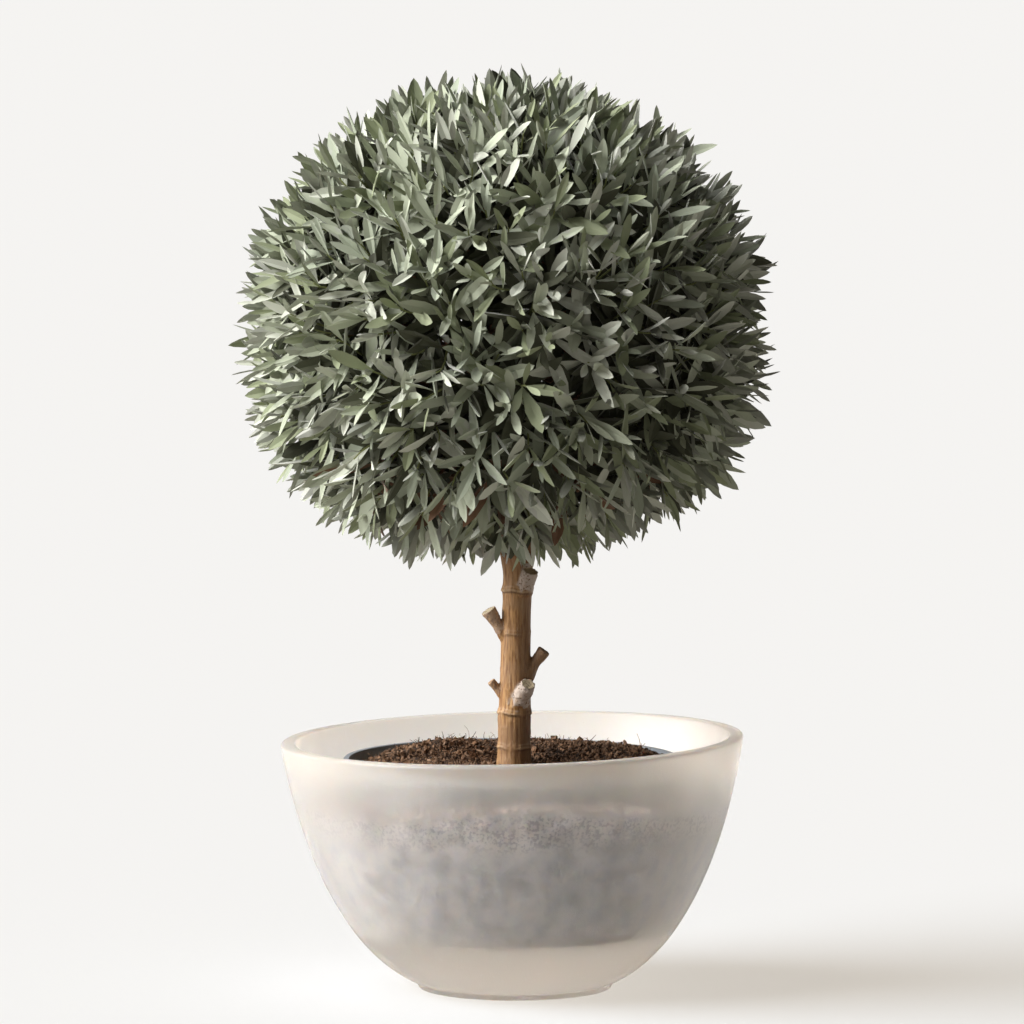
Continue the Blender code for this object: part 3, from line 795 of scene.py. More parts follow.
soil_edge = SOIL_LEVEL - SOIL_EDGE_DROP
soil_floor = POT_BASE + POT_WALL + GAP
soil_radius = pot_radius(soil_edge) - POT_WALL - GAP
profile = [(soil_radius * i / SOIL_RINGS, SOIL_LEVEL) for i in range(SOIL_RINGS)]
profile += [(soil_radius, soil_edge), (pot_radius(soil_floor) - POT_WALL - GAP, soil_floor)]
profile += [(0.0, soil_floor)]
points, faces = turned(profile, SOIL_STEPS)
surface = points[:, 2] > soil_edge + GAP
x, y = points[surface, 0], points[surface, 1]
flat = columns(x, y, 0.0)
points[surface, 2] = soil_height(x, y) + soil_relief(flat)

compost, place = new_finish("compost_finish", Roughness=0.95)
clods = place.noise(0.006, 5.0, seed=1.0).ramp(0.38, 0.66)
flecks = place.noise(0.0018, 2.0, seed=6.0).ramp(0.62, 0.7)
brown = clods.blend((0.028, 0.015, 0.008), (0.115, 0.060, 0.030))
feed(
    compost,
    Base_Color=(flecks * 0.7).blend(brown, (0.20, 0.115, 0.065)),
    Normal=bumped(place.noise(0.0012, 3.0), 0.0006),
)
bed = mesh_object("compost_bed", points, faces, [compost], crease=60)
fit(bed, "compost", "root_ball")

# %% Crumbs, chips and fibres
CRUMBS = 9000
LEAST_CRUMB = 0.0004
SOIL_CHIPS = 260
SOIL_CHIP_LENGTHS = (0.0028, 0.0062)  # half lengths
FIBRES = 1500
FIBRE_ROWS = 6
FIBRE_RADII = (0.00022, 0.00058)
FIBRE_BENDS = (0.3, 2.4)
LEAST_FIBRE = 0.0025
TRUNK_KEEP_OUT = 0.0215  # nothing loose lies closer to the trunk's axis than this

crumb_brown, place = new_finish("crumb_finish", Roughness=0.95)
shade = place.noise(0.004, 2.0, seed=3.0).ramp(0.4, 0.62)
feed(crumb_brown, Base_Color=shade.blend((0.052, 0.028, 0.015), (0.235, 0.127, 0.066)))
chip_tan, _ = new_finish("soil_chip_finish", Base_Color=opaque((0.24, 0.145, 0.085)), Roughness=0.85)
fibre_tan, place = new_finish("fibre_finish", Roughness=0.9)
shade = place.noise(0.009, 1.0, seed=8.0).ramp(0.4, 0.6)
feed(fibre_tan, Base_Color=shade.blend((0.075, 0.038, 0.020), (0.30, 0.175, 0.105)))


def on_soil(count, lift):
    """Random places on the compost, raised or sunk by the lift."""
    spots = ring_spots(count, TRUNK_KEEP_OUT, soil_radius - 0.003)
    height = soil_height(spots[:, 0], spots[:, 1]) + lift
    return columns(*spots.T, height)


size = rng.gamma(2.0, 0.00046, CRUMBS)[:, None] * rng.uniform(0.4, 1.5, (CRUMBS, 3)) + LEAST_CRUMB
crumb_points, crumb_faces = lumps(on_soil(CRUMBS, 0.0006), size, random_turns(CRUMBS), 0.5)
crumbs = mesh_object("compost_crumbs", crumb_points, [crumb_faces], [crumb_brown], crease=25)
fit(crumbs, "compost")

length = rng.uniform(*SOIL_CHIP_LENGTHS, SOIL_CHIPS)
size = columns(length, length * 0.45, length * 0.2)
chip_points, chip_faces = lumps(on_soil(SOIL_CHIPS, 0.0012), size, random_turns(SOIL_CHIPS))
chips = mesh_object("compost_chips", chip_points, [chip_faces], [chip_tan], crease=25)
fit(chips, "compost")


def curls(starts, headings, length, bend, rows):
    """Short curved lines: each bends evenly from its heading towards a second direction.

    Along a line the heading's share is the sine of the turned angle over the whole angle, and
    the second direction's is one less its cosine.
    """
    share = np.linspace(0, 1, rows)[None, :, None]
    side = unit(np.cross(headings, rng.normal(size=headings.shape)))[:, None, :]
    angle = bend[:, None, None]
    ahead = np.sin(angle * share) / angle * headings[:, None, :]
    aside = (1 - np.cos(angle * share)) / angle * side
    return starts[:, None, :] + length[:, None, None] * (ahead + aside)


heading = rng.normal(size=(FIBRES, 3)) * [1.0, 1.0, 0.55]
heading[:, 2] = np.abs(heading[:, 2])
lines = curls(
    on_soil(FIBRES, 0.0003),
    unit(heading),
    rng.gamma(3.0, 0.0019, FIBRES) + LEAST_FIBRE,
    rng.uniform(*FIBRE_BENDS, FIBRES),
    FIBRE_ROWS,
)
radii = rng.uniform(*FIBRE_RADII, (FIBRES, 1)) * np.linspace(1.0, 0.5, FIBRE_ROWS)
fibre_faces = ring_faces(FIBRES, FIBRE_ROWS, 3)
fibres = mesh_object("root_fibres", tubes(lines, radii, 3), fibre_faces, [fibre_tan])
fit(fibres, "compost")

# %% [markdown]
# ## Bark in the bowl
#
# Bark chips pack the space between bowl and pot. They show twice: from above, as a ring, and as
# a blurred speckled band through the wall. So there is a dark bed for the depth of the heap,
# with chips on its top. The dry fines that cling to the wall are a mask, stored on the bowl's
# points, that the bowl's finish reads.

# %% Bark bed
BARK_AT_POT = 0.200
BARK_AT_WALL = 0.190
BARK_CROWNING = 0.002
BARK_MOUND = 0.013  # extra height against the wall in front
BARK_MOUND_TURN = math.radians(6)
BARK_MOUND_SPREAD = math.radians(26)
BARK_WAVE = 0.0022
BARK_FINES_LOW = 0.160  # dry fines against the wall end at about this height
FINES_EDGES = (0.003, 0.012)  # they fade over this much height above and below
FINES_WAVE = 0.006
FINES_BEHIND = 0.12  # their share on the side away from the mound
FINES_SPREAD = math.radians(50)
BARK_STEPS = 200

bowl_inside = inner_wall(BOWL_WALL + GAP, BOWL_FLOOR + BOWL_CORNER)
bed_wall = inner_wall(BOWL_WALL + GAP, BOWL_FLOOR + BOWL_CORNER, BARK_AT_WALL, 30)
bark_inner = pot_radius(BARK_AT_POT) + GAP
bark_outer = bed_wall[-1, 0]
across = np.linspace(0, 1, 14)
top_r = bark_inner + (bark_outer - bark_inner) * across


def bark_height(share):
    """Straight down from the pot to the wall, plus half a sine wave of crowning."""
    slope = BARK_AT_POT + (BARK_AT_WALL - BARK_AT_POT) * share
    return slope + BARK_CROWNING * np.sin(math.pi * share)


def bark_mound(points, share):
    """More bark in front, by a bell of the turn from the mound's middle, and waves everywhere."""
    turn = np.arctan2(points[..., 0], -points[..., 1])
    front = BARK_MOUND * bell(turn - BARK_MOUND_TURN, BARK_MOUND_SPREAD) * (0.3 + 0.7 * share)
    around = columns(np.sin(turn), np.cos(turn), 0.0)
    return front + BARK_WAVE * cloud(around * 0.2, 0.018, 32)


# the bowl's finish needs to know where the dry fines lie against it
wall_top = BARK_AT_WALL + bark_mound(bowl_points, 1.0)
wave = cloud(bowl_points, 0.012, 33) * FINES_WAVE
fines = np.clip((wall_top - bowl_points[:, 2]) / FINES_EDGES[0], 0, 1)
fines *= np.clip((bowl_points[:, 2] + wave - BARK_FINES_LOW) / FINES_EDGES[1], 0, 1)
front_turn = np.arctan2(bowl_points[:, 0], -bowl_points[:, 1])
fines *= FINES_BEHIND + (1 - FINES_BEHIND) * bell(front_turn - BARK_MOUND_TURN, FINES_SPREAD)
fines *= np.clip(0.95 + 0.8 * cloud(bowl_points, 0.028, 34), 0.5, 1.0)
store(bowl.data, fines=fines)

top_z = bark_height(across)
bark_seat = POT_BASE - GAP
profile = [(0.0, bark_seat), (POT_BASE_RADIUS + GAP, bark_seat)] + list(zip(top_r, top_z))
profile += [tuple(p) for p in bed_wall[::-1]]
profile += [(bed_wall[0, 0] - BOWL_CORNER * 0.3, BOWL_FLOOR + BOWL_CORNER * 0.3)]
profile += [(bed_wall[0, 0] - BOWL_CORNER, BOWL_FLOOR + GAP), (0.0, BOWL_FLOOR + GAP)]
points, faces = turned(profile, BARK_STEPS)
reach = level_reach(points)
free_top = (points[:, 2] > BARK_AT_WALL - GAP) & (reach > bark_inner + GAP)
across = (reach[free_top] - bark_inner) / (bark_outer - bark_inner)
points[free_top, 2] += cloud(points[free_top], 0.012, 31) * BARK_WAVE
points[free_top, 2] += bark_mound(points[free_top], across)
beyond = level_reach(points) - pot_radius(points[:, 2]) > 2 * GAP
beyond |= points[:, 2] < bark_seat - GAP
points[beyond] = cast_askew(points[beyond])

bark_bed, place = new_finish("bark_bed_finish", Roughness=0.95)
damp = place.noise(0.02, 4.0, seed=12.0).ramp(0.35, 0.65)
speckle = place.noise(0.005, 3.0, seed=13.0).ramp(0.5, 0.66)
# dark blue-grey, not the brown of bark: painted shade deep in the heap, with a painted cool cast against the
# warm light through the resin
painted_shade_bed = damp.blend((0.096, 0.100, 0.118), (0.262, 0.262, 0.282))
feed(bark_bed, Base_Color=(speckle * 0.5).blend(painted_shade_bed, (0.26, 0.22, 0.20)))
bark = mesh_object("bark_bed", points, faces, [bark_bed], crease=50)
fit(bark, "bark_chips", "bark_fill")

# %% Bark chips
CHIPS = 6500
CHIP_LENGTHS = (0.0009, 0.0034)  # half lengths
# name, colour, share
CHIP_TINTS = (
    ("pale", (0.45, 0.37, 0.345), 0.36),
    ("russet", (0.30, 0.215, 0.190), 0.36),
    ("dark", (0.090, 0.080, 0.082), 0.28),
)


def chip_sizes(lengths):
    """Half lengths of flat chips: length, about half as wide, and thin."""
    width = lengths * rng.uniform(0.4, 0.7, len(lengths))
    return columns(lengths, width, lengths * 0.24)


def flat_turns(normals):
    """Rotations that lay each chip's thin side along a normal, with a random heading and tilt."""
    lean = unit(normals + rng.normal(scale=0.35, size=normals.shape))
    along = unit(np.cross(lean, rng.normal(size=normals.shape)))
    return columns(along, np.cross(lean, along), lean)


spots = ring_spots(CHIPS, bark_inner + 0.003, bark_outer)
share = (level_reach(spots) - bark_inner) / (bark_outer - bark_inner)
height = bark_height(share) + bark_mound(spots, share) + rng.uniform(-0.001, 0.004, CHIPS)
centres = cast_askew(columns(*spots.T, height))
sizes = chip_sizes(rng.uniform(*CHIP_LENGTHS, CHIPS))
chip_points, _ = lumps(centres, sizes, flat_turns(np.tile(UP, (CHIPS, 1))))

inside = level_reach(chip_points)
limit = np.interp(chip_points[..., 2], bowl_inside[:, 1], bowl_inside[:, 0]) - GAP
chip_points[..., :2] *= np.minimum(1.0, limit / inside)[..., None]
chip_faces = icosahedron()[1]
dealt = rng.choice(len(CHIP_TINTS), CHIPS, p=[share for _, _, share in CHIP_TINTS])
for number, (tint, colour, _) in enumerate(CHIP_TINTS):
    chosen = chip_points[dealt == number]
    index = chip_faces[None] + np.arange(len(chosen))[:, None, None] * chip_points.shape[1]
    finish, _ = new_finish(f"{tint}_chip_finish", Base_Color=opaque(colour), Roughness=0.9)
    piece = mesh_object(f"bark_chips_{tint}", chosen, [index.reshape(-1, 3)], [finish], crease=25)
    fit(piece, "bark_chips")

# %% [markdown]
# ## Trunk, boughs and pruned stubs
#
# The trunk tapers, leans a little and is ringed where old leaves sat. Where a side shoot was
# pruned, a stub is left in a swollen collar. Tubes that only overlap would show hard joints.
# So closed tubes are laid into each other and a voxel Remesh fuses them into one skin, which
# then gets its bark: each vertex moves along its normal by noises stretched along the grain.

# %% Trunk measures
TRUNK_FOOT = np.array([0.002, 0.0, SOIL_LEVEL + GAP])
TRUNK_SUNK = 0.006  # the bark goes this far into the loose compost
TRUNK_LEAN = 0.0035
TRUNK_FORK = 0.4365
TRUNK_FOOT_RADIUS = 0.0170
TRUNK_TOP_RADIUS = 0.0146
TAPER_ENDS = 1 / 1.6  # share of the height at which the taper ends
ROOT_FLARE = 0.0010
ROOT_FLARE_RISE = 0.012
CROTCH_HEIGHT = 0.03
CROTCH_SWELLING = 0.0026
NODE_RINGS = ((0.2420, 0.0008), (0.2772, 0.0011), (0.3577, 0.0005), (0.4000, 0.0013))
NODE_RING_SPREAD = 0.0032

# name, root in the trunk, cut end, radii at root, waist and cut, paleness, tone of the cut
STUBS = (
    ("lower_left", (-0.008, -0.001, 0.2950), (-0.0212, -0.003, 0.3090), (0.0062, 0.0040, 0.0040), 0.25, 0.8),
    ("lower_front", (0.0040, -0.003, 0.2830), (0.0162, -0.0225, 0.3080), (0.0135, 0.0082, 0.0068), 1.0, 0.1),
    ("right", (0.0110, -0.001, 0.3140), (0.0325, -0.004, 0.3400), (0.0115, 0.0056, 0.0066), 0.1, 0.9),
    ("left", (-0.004, 0.000, 0.3515), (-0.0237, -0.005, 0.3805), (0.0078, 0.0056, 0.0076), 0.45, 0.0),
    ("upper_right", (0.0105, -0.006, 0.3990), (0.0187, -0.0155, 0.4210), (0.0105, 0.0080, 0.0072), 0.9, 0.5),
)
STUB_WAIST = 0.6

# offsets from the fork, and the radii at fork and tip
BOUGHS = (
    (((-0.0088, 0.0, 0.0), (-0.0098, 0.001, 0.016), (-0.0135, 0.003, 0.034),
      (-0.0210, 0.006, 0.050)), (0.0088, 0.0074)),
    (((0.0108, 0.0, 0.0), (0.0118, 0.001, 0.016), (0.0140, 0.002, 0.034),
      (0.0190, 0.003, 0.050)), (0.0064, 0.0058)),
)
BOUGH_ROOT_DEPTH = 0.016  # each bough starts this far down inside the trunk


print(len(STUBS), "stubs and", len(BOUGHS), "boughs")

# %% Trunk and boughs as lines
def trunk_radius(height):
    """Even taper, a bell-shaped flare at the foot, a bell at each node ring, a wide crotch."""
    share = (height - TRUNK_FOOT[2]) / (TRUNK_FORK - TRUNK_FOOT[2])
    taper = np.clip(share / TAPER_ENDS, 0.0, 1.0)
    radius = TRUNK_FOOT_RADIUS + (TRUNK_TOP_RADIUS - TRUNK_FOOT_RADIUS) * taper
    radius = radius + ROOT_FLARE * bell(height - TRUNK_FOOT[2], ROOT_FLARE_RISE)
    for ring, swelling in NODE_RINGS:
        radius = radius + swelling * bell(height - ring, NODE_RING_SPREAD)
    crotch = np.clip((height - TRUNK_FORK) / CROTCH_HEIGHT + 1, 0, 1)
    return radius + CROTCH_SWELLING * crotch**2


def trunk_centre(height):
    """Straight up from the foot, shifted sideways by a smooth step of the lean."""
    height = np.asarray(height, float)
    share = np.clip((height - TRUNK_FOOT[2]) / (TRUNK_FORK - TRUNK_FOOT[2]), 0, 1)
    lean = TRUNK_LEAN * share * share * (3 - 2 * share)
    return columns(TRUNK_FOOT[0] + lean, TRUNK_FOOT[1], height)


def smooth_line(knots, rows):
    """A curve through the knots: between two, each coordinate is a cubic whose slopes are half
    the difference of the neighbours on either side."""
    knots = np.asarray(knots, float)
    ends = np.concatenate([[2 * knots[0] - knots[1]], knots, [2 * knots[-1] - knots[-2]]])
    place = np.linspace(0, len(knots) - 1, rows)
    first = np.minimum(place.astype(int), len(knots) - 2)
    share = (place - first)[:, None]
    a, b, c, d = (ends[first + k] for k in range(4))
    slope_b, slope_c = (c - a) / 2, (d - b) / 2
    return cubic(b, b + slope_b / 3, c - slope_c / 3, c, share[:, 0])


def bough_line(offsets, beyond, rows=24):
    """A bough's centre line from inside the trunk to its tip, and straight on past the tip."""
    knots = trunk_centre(TRUNK_FORK) + np.array(offsets)
    root = knots[0] * [0.35, 1, 1] + trunk_centre(TRUNK_FORK) * [0.65, 0, 0] - UP * BOUGH_ROOT_DEPTH
    past_tip = knots[-1] + unit(knots[-1] - knots[-2]) * beyond
    return smooth_line([root, *knots, past_tip], rows)


print("the trunk is", round(float(trunk_radius(TRUNK_FORK)) * 2000, 1), "mm wide at the fork")

# %% Fused limbs
VOXEL = 0.0009
LIMB_SIDES = 32
STUB_ROWS = 14
BOUGH_BEYOND = 0.03


def closed_tube(line, radii):
    """The points and faces of one tube with flat ends."""
    points = tubes(line[None], np.asarray(radii, float)[None], LIMB_SIDES)
    return points.reshape(-1, 3), ring_faces(1, len(line), LIMB_SIDES)


def stub_line(root, cut):
    """Straight from root to cut, with a slight sag in the middle."""
    share = np.linspace(0, 1, STUB_ROWS)[:, None]
    bend = np.sin(math.pi * share) * [0, 0, -0.0008]
    return np.array(root) + (np.array(cut) - np.array(root)) * share + bend


def waisted(radii):
    """Radii that fall smoothly from root to waist and rise again to the cut."""
    share = np.linspace(0, 1, STUB_ROWS)
    root, waist, cut = radii
    down = smooth_step(np.clip(share / STUB_WAIST, 0, 1))
    up = smooth_step(np.clip((share - STUB_WAIST) / (1 - STUB_WAIST), 0, 1))
    return root + (waist - root) * down + (cut - waist) * up


heights = np.linspace(TRUNK_FOOT[2] - TRUNK_SUNK, TRUNK_FORK, 150)
dome = np.array([0.0012, 0.0022, 0.0030])
trunk_line = trunk_centre(np.concatenate([heights, TRUNK_FORK + dome]))
trunk_radii = np.concatenate([trunk_radius(heights), trunk_radius(TRUNK_FORK) - dome * 1.9])
parts = [closed_tube(trunk_line, trunk_radii)]
for offsets, (at_fork, at_tip) in BOUGHS:
    line = bough_line(offsets, BOUGH_BEYOND)
    parts.append(closed_tube(line, np.linspace(at_fork, at_tip * 0.93, len(line))))
for _, root, cut, radii, _, _ in STUBS:
    parts.append(closed_tube(stub_line(root, cut), waisted(radii)))

shifts = np.cumsum([0, *(len(points) for points, _ in parts)])
quads, ends = (
    np.concatenate([faces[kind] + shift for (_, faces), shift in zip(parts, shifts)]) for kind in (0, 1)
)
rough = mesh_object("trunk_tubes", np.concatenate([points for points, _ in parts]), [quads, ends], [])
fuse = rough.modifiers.new("fuse", "REMESH")
fuse.mode = "VOXEL"
fuse.voxel_size = VOXEL
graph = bpy.context.evaluated_depsgraph_get()
skin = bpy.data.meshes.new_from_object(rough.evaluated_get(graph))
bpy.data.objects.remove(rough)
print("fused limbs:", len(skin.polygons), "faces")

# %% Bark relief
# sizes of the spots, then depths
STREAKS = (((0.0015, 0.0015, 0.018), 0.00022), ((0.0034, 0.0034, 0.045), 0.00030))
SWELLS = (0.013, 0.00045)
WARTS = (0.0035, 0.0006)
WARTS_ABOVE = 0.35  # only noise above this rises
RING_WAVE = 0.0020
RIDGE_RISE = 0.0006
GROOVE_DEPTH = 0.0007
CUT_HOLLOW = 0.0010


def vertex_vectors(mesh, kind):
    """The places or the normals of all vertices, as one array."""
    found = np.empty(len(mesh.vertices) * 3, np.float32)
    mesh.vertices.foreach_get(kind, found)
    return found.reshape(-1, 3).astype(float)


spot = vertex_vectors(skin, "co")
normal = vertex_vectors(skin, "normal")
relief = sum(cloud(spot, size, 41 + i) * depth for i, (size, depth) in enumerate(STREAKS))
relief += cloud(spot, SWELLS[0], 44) * SWELLS[1]
relief += np.maximum(cloud(spot, WARTS[0], 45), WARTS_ABOVE) * WARTS[1] - 0.0002
groove, ridge, pale, cut_face, cut_tone = np.zeros((5, len(spot)))
for number, (ring, swelling) in enumerate(NODE_RINGS):
    level = spot[:, 2] - ring + cloud(spot * [1, 1, 0], 0.011, 50 + number) * RING_WAVE
    on_trunk = bell(np.hypot(spot[:, 0] - 0.004, spot[:, 1]), 0.035)
    patchy = np.clip(cloud(spot * [1, 1, 0], 0.014, 70 + number) * 1.3 + 0.55, 0.0, 1.0)
    strength = min(1.0, swelling / 0.001) * on_trunk * patchy
    ridge = np.maximum(ridge, bell(level, 0.0011) * strength)
    ridge = np.maximum(ridge, bell(level - 0.0034, 0.0008) * strength * 0.6)
    groove = np.maximum(groove, bell(level + 0.0022, 0.0010) * strength)
relief += ridge * RIDGE_RISE - groove * GROOVE_DEPTH
print("bark relief from", round(relief.min() * 1000, 2), "to", round(relief.max() * 1000, 2), "mm")

# %% Stubs and their cuts
FRAY = 0.0045  # size of the tongues at the edge of the pale skin
PALE_FADE = 0.0016
PALE_FROM = 0.22  # share of the stub's length where its pale skin starts
CUT_BEVEL = 0.003

for _, root, cut, radii, paleness, tone in STUBS:
    root, cut = np.array(root), np.array(cut)
    along = unit(cut - root)
    length = np.linalg.norm(cut - root)
    depth = (spot - root) @ along
    away = np.linalg.norm(spot - root - depth[:, None] * along, axis=1)
    radius = np.interp(depth / length, np.linspace(0, 1, STUB_ROWS), waisted(radii))
    frayed = cloud(spot, FRAY, 64)
    near = bell(np.maximum(away - radius - frayed * 0.001, 0), PALE_FADE) * (depth < length + 0.004)
    near *= np.clip((depth / length - PALE_FROM - frayed * 0.20) / 0.10, 0, 1)
    pale = np.maximum(pale, near * paleness)
    relief += near * np.abs(cloud(spot, 0.0032, 60)) * 0.0011 * paleness
    relief += near * cloud(spot, 0.0075, 62) * 0.0016 * tone * paleness
    face = (normal @ along > 0.75) & (depth > length - CUT_BEVEL) & (away < radii[2] * 0.98)
    cut_face[face] = 1.0
    cut_tone[face] = tone
    share = np.clip(away / radii[2], 0, 1)
    hollow = CUT_HOLLOW * (1 - share**4) + cloud(spot, 0.0016, 61) * 0.0003
    relief[face] = -hollow[face]
fade = np.clip((spot[:, 2] - TRUNK_FOOT[2]) / 0.004, 0.2, 1.0)
spot += normal * (relief * fade)[:, None]
skin.vertices.foreach_set("co", spot.astype(np.float32).ravel())
store(skin, pale=pale, cut_face=cut_face, cut_tone=cut_tone, groove=groove, ridge=ridge)
print("points on cut faces:", int(cut_face.sum()))

# %% Bark finish
tan, place = new_finish("tan_bark_finish", IOR=1.45)
pale_mask, cut_mask, tone_mask, groove_shade_mask, ridge_mask = (
    stored(place, name) for name in ("pale", "cut_face", "cut_tone", "groove", "ridge")
)
streak = place.noise(0.0022, 3.0, (1.0, 1.0, 11.0), seed=1.5).ramp(0.36, 0.66)
fine = place.noise(0.0011, 2.0, (1.0, 1.0, 14.0), seed=3.5).ramp(0.55, 0.72)
patch = place.noise(0.020, 3.0, (1.0, 1.0, 1.6), seed=2.5).ramp(0.42, 0.62)
cracks = place.noise(0.0024, 3.0, seed=7.5).ramp(0.56, 0.66)
# darker towards the trunk's right, the side away from the key light: painted shade
painted_shade_right = place.part("X").ramp(0.000, 0.016)
level = place.part("Z")
grey = cracks.blend((0.56, 0.48, 0.42), (0.17, 0.11, 0.08))
wood = painted(
    streak.blend((0.515, 0.282, 0.108), (0.24, 0.108, 0.039)),
    (patch * 0.5, (0.385, 0.225, 0.122)),
    (fine * 0.5, (0.68, 0.48, 0.28)),
    # painted shade on the right side
    (painted_shade_right * 0.6, (0.125, 0.062, 0.026)),
    # darker from just below the fork upwards, under the crown: painted shade
    (level.ramp(0.405, 0.470) * 0.75, (0.20, 0.085, 0.042)),
    ((1.0 - level.ramp(0.262, 0.280)) * 0.45, (0.21, 0.115, 0.052)),
    (ridge_mask * 0.6, (0.62, 0.47, 0.31)),
    # near black in the groove under each ring: painted shade in the recess
    (groove_shade_mask * 0.9, (0.065, 0.035, 0.02)),
    (pale_mask * 0.85, grey),
)
cream = tone_mask.blend((0.80, 0.68, 0.47), (0.34, 0.175, 0.09))
cream = (cracks * 0.6).blend(cream, (0.24, 0.14, 0.07))
feed(
    tan,
    Base_Color=cut_mask.blend(wood, cream),
    Roughness=streak * 0.2 + 0.5,
    Normal=bumped(place.noise(0.0009, 3.0, (1.0, 1.0, 5.0)), 0.0003),
)
skin.materials.clear()
skin.materials.append(tan)
skin.shade_smooth()
skin.name = "trunk_and_boughs"
trunk = bpy.data.objects.new("trunk_and_boughs", skin)
bpy.context.scene.collection.objects.link(trunk)
stub_nodes = [f"stub_{name}" for name, *_ in STUBS]
fit(trunk, "tan_bark", "trunk", "bough_left", "bough_right", *stub_nodes)

# %% [markdown]
# ## Crown: how the limbs are laid out
#
# A clipped ball keeps its limbs hidden, but they decide where leaves can be. Limbs fan out from
# the two boughs to directions spaced evenly over the ball, along a golden spiral: each turns by
# the golden angle from the last, so none lines up with another. The same spiral with a higher
# count gives the forked twigs and then the leafy shoots, each grown from the nearest limb.

# %% Crown outline
CROWN_CENTRE = np.array([-0.006, 0.0, 0.673])
CROWN_RADIUS = 0.268
CROWN_RISE = 0.242
ROUND_ABOVE = 2.05
ROUND_BELOW = 2.65
GOLDEN_ANGLE = math.pi * (3 - math.sqrt(5))
ASTRAY_COST = 0.004


def crown_reach(ways):
    """Distance to the outline: one over the p-th root of (flat share)^p + (rise share)^p.

    The flat share is the direction's level part over the radius, the rise share its upright
    part over the rise. A higher p squares the ball off, so p is higher below the centre.
    """
    power = np.where(ways[..., 2] > 0, ROUND_ABOVE, ROUND_BELOW)
    flat = level_reach(ways) / CROWN_RADIUS
    return (flat**power + (np.abs(ways[..., 2]) / CROWN_RISE) ** power) ** (-1 / power)


def crown_point(ways, share):
    """The point in each direction, at a share of the way to the outline."""
    return CROWN_CENTRE + ways * (crown_reach(ways) * share)[..., None]


def crown_share(points):
    """How far out points lie, as shares of the outline."""
    offset = points - CROWN_CENTRE
    return np.linalg.norm(offset, axis=-1) / crown_reach(unit(offset))


def spread_ways(count):
    """Directions along a golden spiral: equal steps of height, golden turns."""
    index = np.arange(count)
    z = 1 - 2 * (index + 0.5) / count
    flat = np.sqrt(1 - z * z)
    return columns(flat * np.cos(index * GOLDEN_ANGLE), flat * np.sin(index * GOLDEN_ANGLE), z)


def any_square(vectors):
    """A unit vector square to each given one: its cross product with its least axis."""
    least = np.eye(3)[np.argmin(np.abs(vectors), axis=-1)]
    return unit(np.cross(vectors, least))


def spun(vectors, axes, angles):
    """Vectors turned about unit axes: v cos + (axis x v) sin + axis (axis . v)(1 - cos)."""
    angles = np.asarray(angles)[..., None]
    along = (vectors * axes).sum(-1, keepdims=True)
    turned_part = vectors * np.cos(angles) + np.cross(axes, vectors) * np.sin(angles)
    return turned_part + axes * along * (1 - np.cos(angles))


def arcs(starts, leaving, ends, arriving, rows):
    """Cubic curves that leave and arrive in the given directions, with handles a third long."""
    reach = np.linalg.norm(ends - starts, axis=-1, keepdims=True) / 3
    a, b = starts[:, None], (starts + leaving * reach)[:, None]
    c, d = (ends - arriving * reach)[:, None], ends[:, None]
    return cubic(a, b, c, d, np.linspace(0, 1, rows)[None])


def nearest(spots, lines, ways):
    """The nearest point of many lines to each spot, and the line's direction there.

    Nearness is the squared distance, plus a cost that grows as the point lies off the way out.
    """
    points = lines.reshape(-1, 3)
    heads = unit(np.gradient(lines, axis=1)).reshape(-1, 3)
    gap = ((spots[:, None] - points[None]) ** 2).sum(-1)
    gap += ASTRAY_COST * (1 - (unit(points - CROWN_CENTRE)[None] * ways[:, None]).sum(-1))
    best = np.argmin(gap, axis=1)
    return points[best], heads[best]


print("the crown reaches up to", round(float(crown_point(UP, 1.0)[2]), 4), "m")

# %% Leaders, limbs and twigs
LEADERS = (
    ((-0.030, 0.014, 0.540), (-0.040, 0.024, 0.610), (-0.030, 0.018, 0.700)),
    ((0.036, 0.004, 0.540), (0.052, -0.014, 0.610), (0.040, -0.028, 0.690)),
)
LEADER_RADII = ((0.0074, 0.0045), (0.0058, 0.0040))
LEADER_SUNK = 0.012
LEADER_ROWS = 32
LIMBS = 24
LIMB_TIPS = (0.50, 0.06)  # share of the way to the outline, and its spread
LIMB_FAN = (0.05, 0.03, 0.11)  # limbs leave the leaders near an ellipsoid of this size
LIMB_FAN_DROP = 0.045
LIMB_RADII = (0.0052, 0.0030)
LIMB_ROWS = 16
TWIGS = 59
FORK_SPREAD = math.radians(6.5)
FORK_SHARE = 0.48
TWIG_TIPS = (0.76, 0.03)
TWIG_RADII = (0.0029, 0.0017)
TWIG_ROWS = 14


def leader_line(offsets, knots):
    """From just inside the bough's tip, through the knots, up to the middle of the crown."""
    tip = trunk_centre(TRUNK_FORK) + np.array(offsets[-1])
    below = trunk_centre(TRUNK_FORK) + np.array(offsets[-2])
    start = tip - unit(tip - below) * LEADER_SUNK
    return smooth_line([start, tip, *knots], LEADER_ROWS)


leaders = np.array([leader_line(offsets, knots) for (offsets, _), knots in zip(BOUGHS, LEADERS)])
leader_radii = np.array([np.linspace(*radii, LEADER_ROWS) for radii in LEADER_RADII])

limb_ways = spread_ways(LIMBS)
limb_tips = crown_point(limb_ways, LIMB_TIPS[0] + LIMB_TIPS[1] * rng.uniform(-1, 1, LIMBS))
leaving_from = limb_ways * LIMB_FAN + UP * (CROWN_CENTRE[2] - LIMB_FAN_DROP)
limb_roots, limb_heads = nearest(leaving_from, leaders[:, 8:], limb_ways)
limb_ends = unit(limb_ways + UP * 0.25)
limb_lines = arcs(limb_roots, unit(limb_heads + limb_ways), limb_tips, limb_ends, LIMB_ROWS)

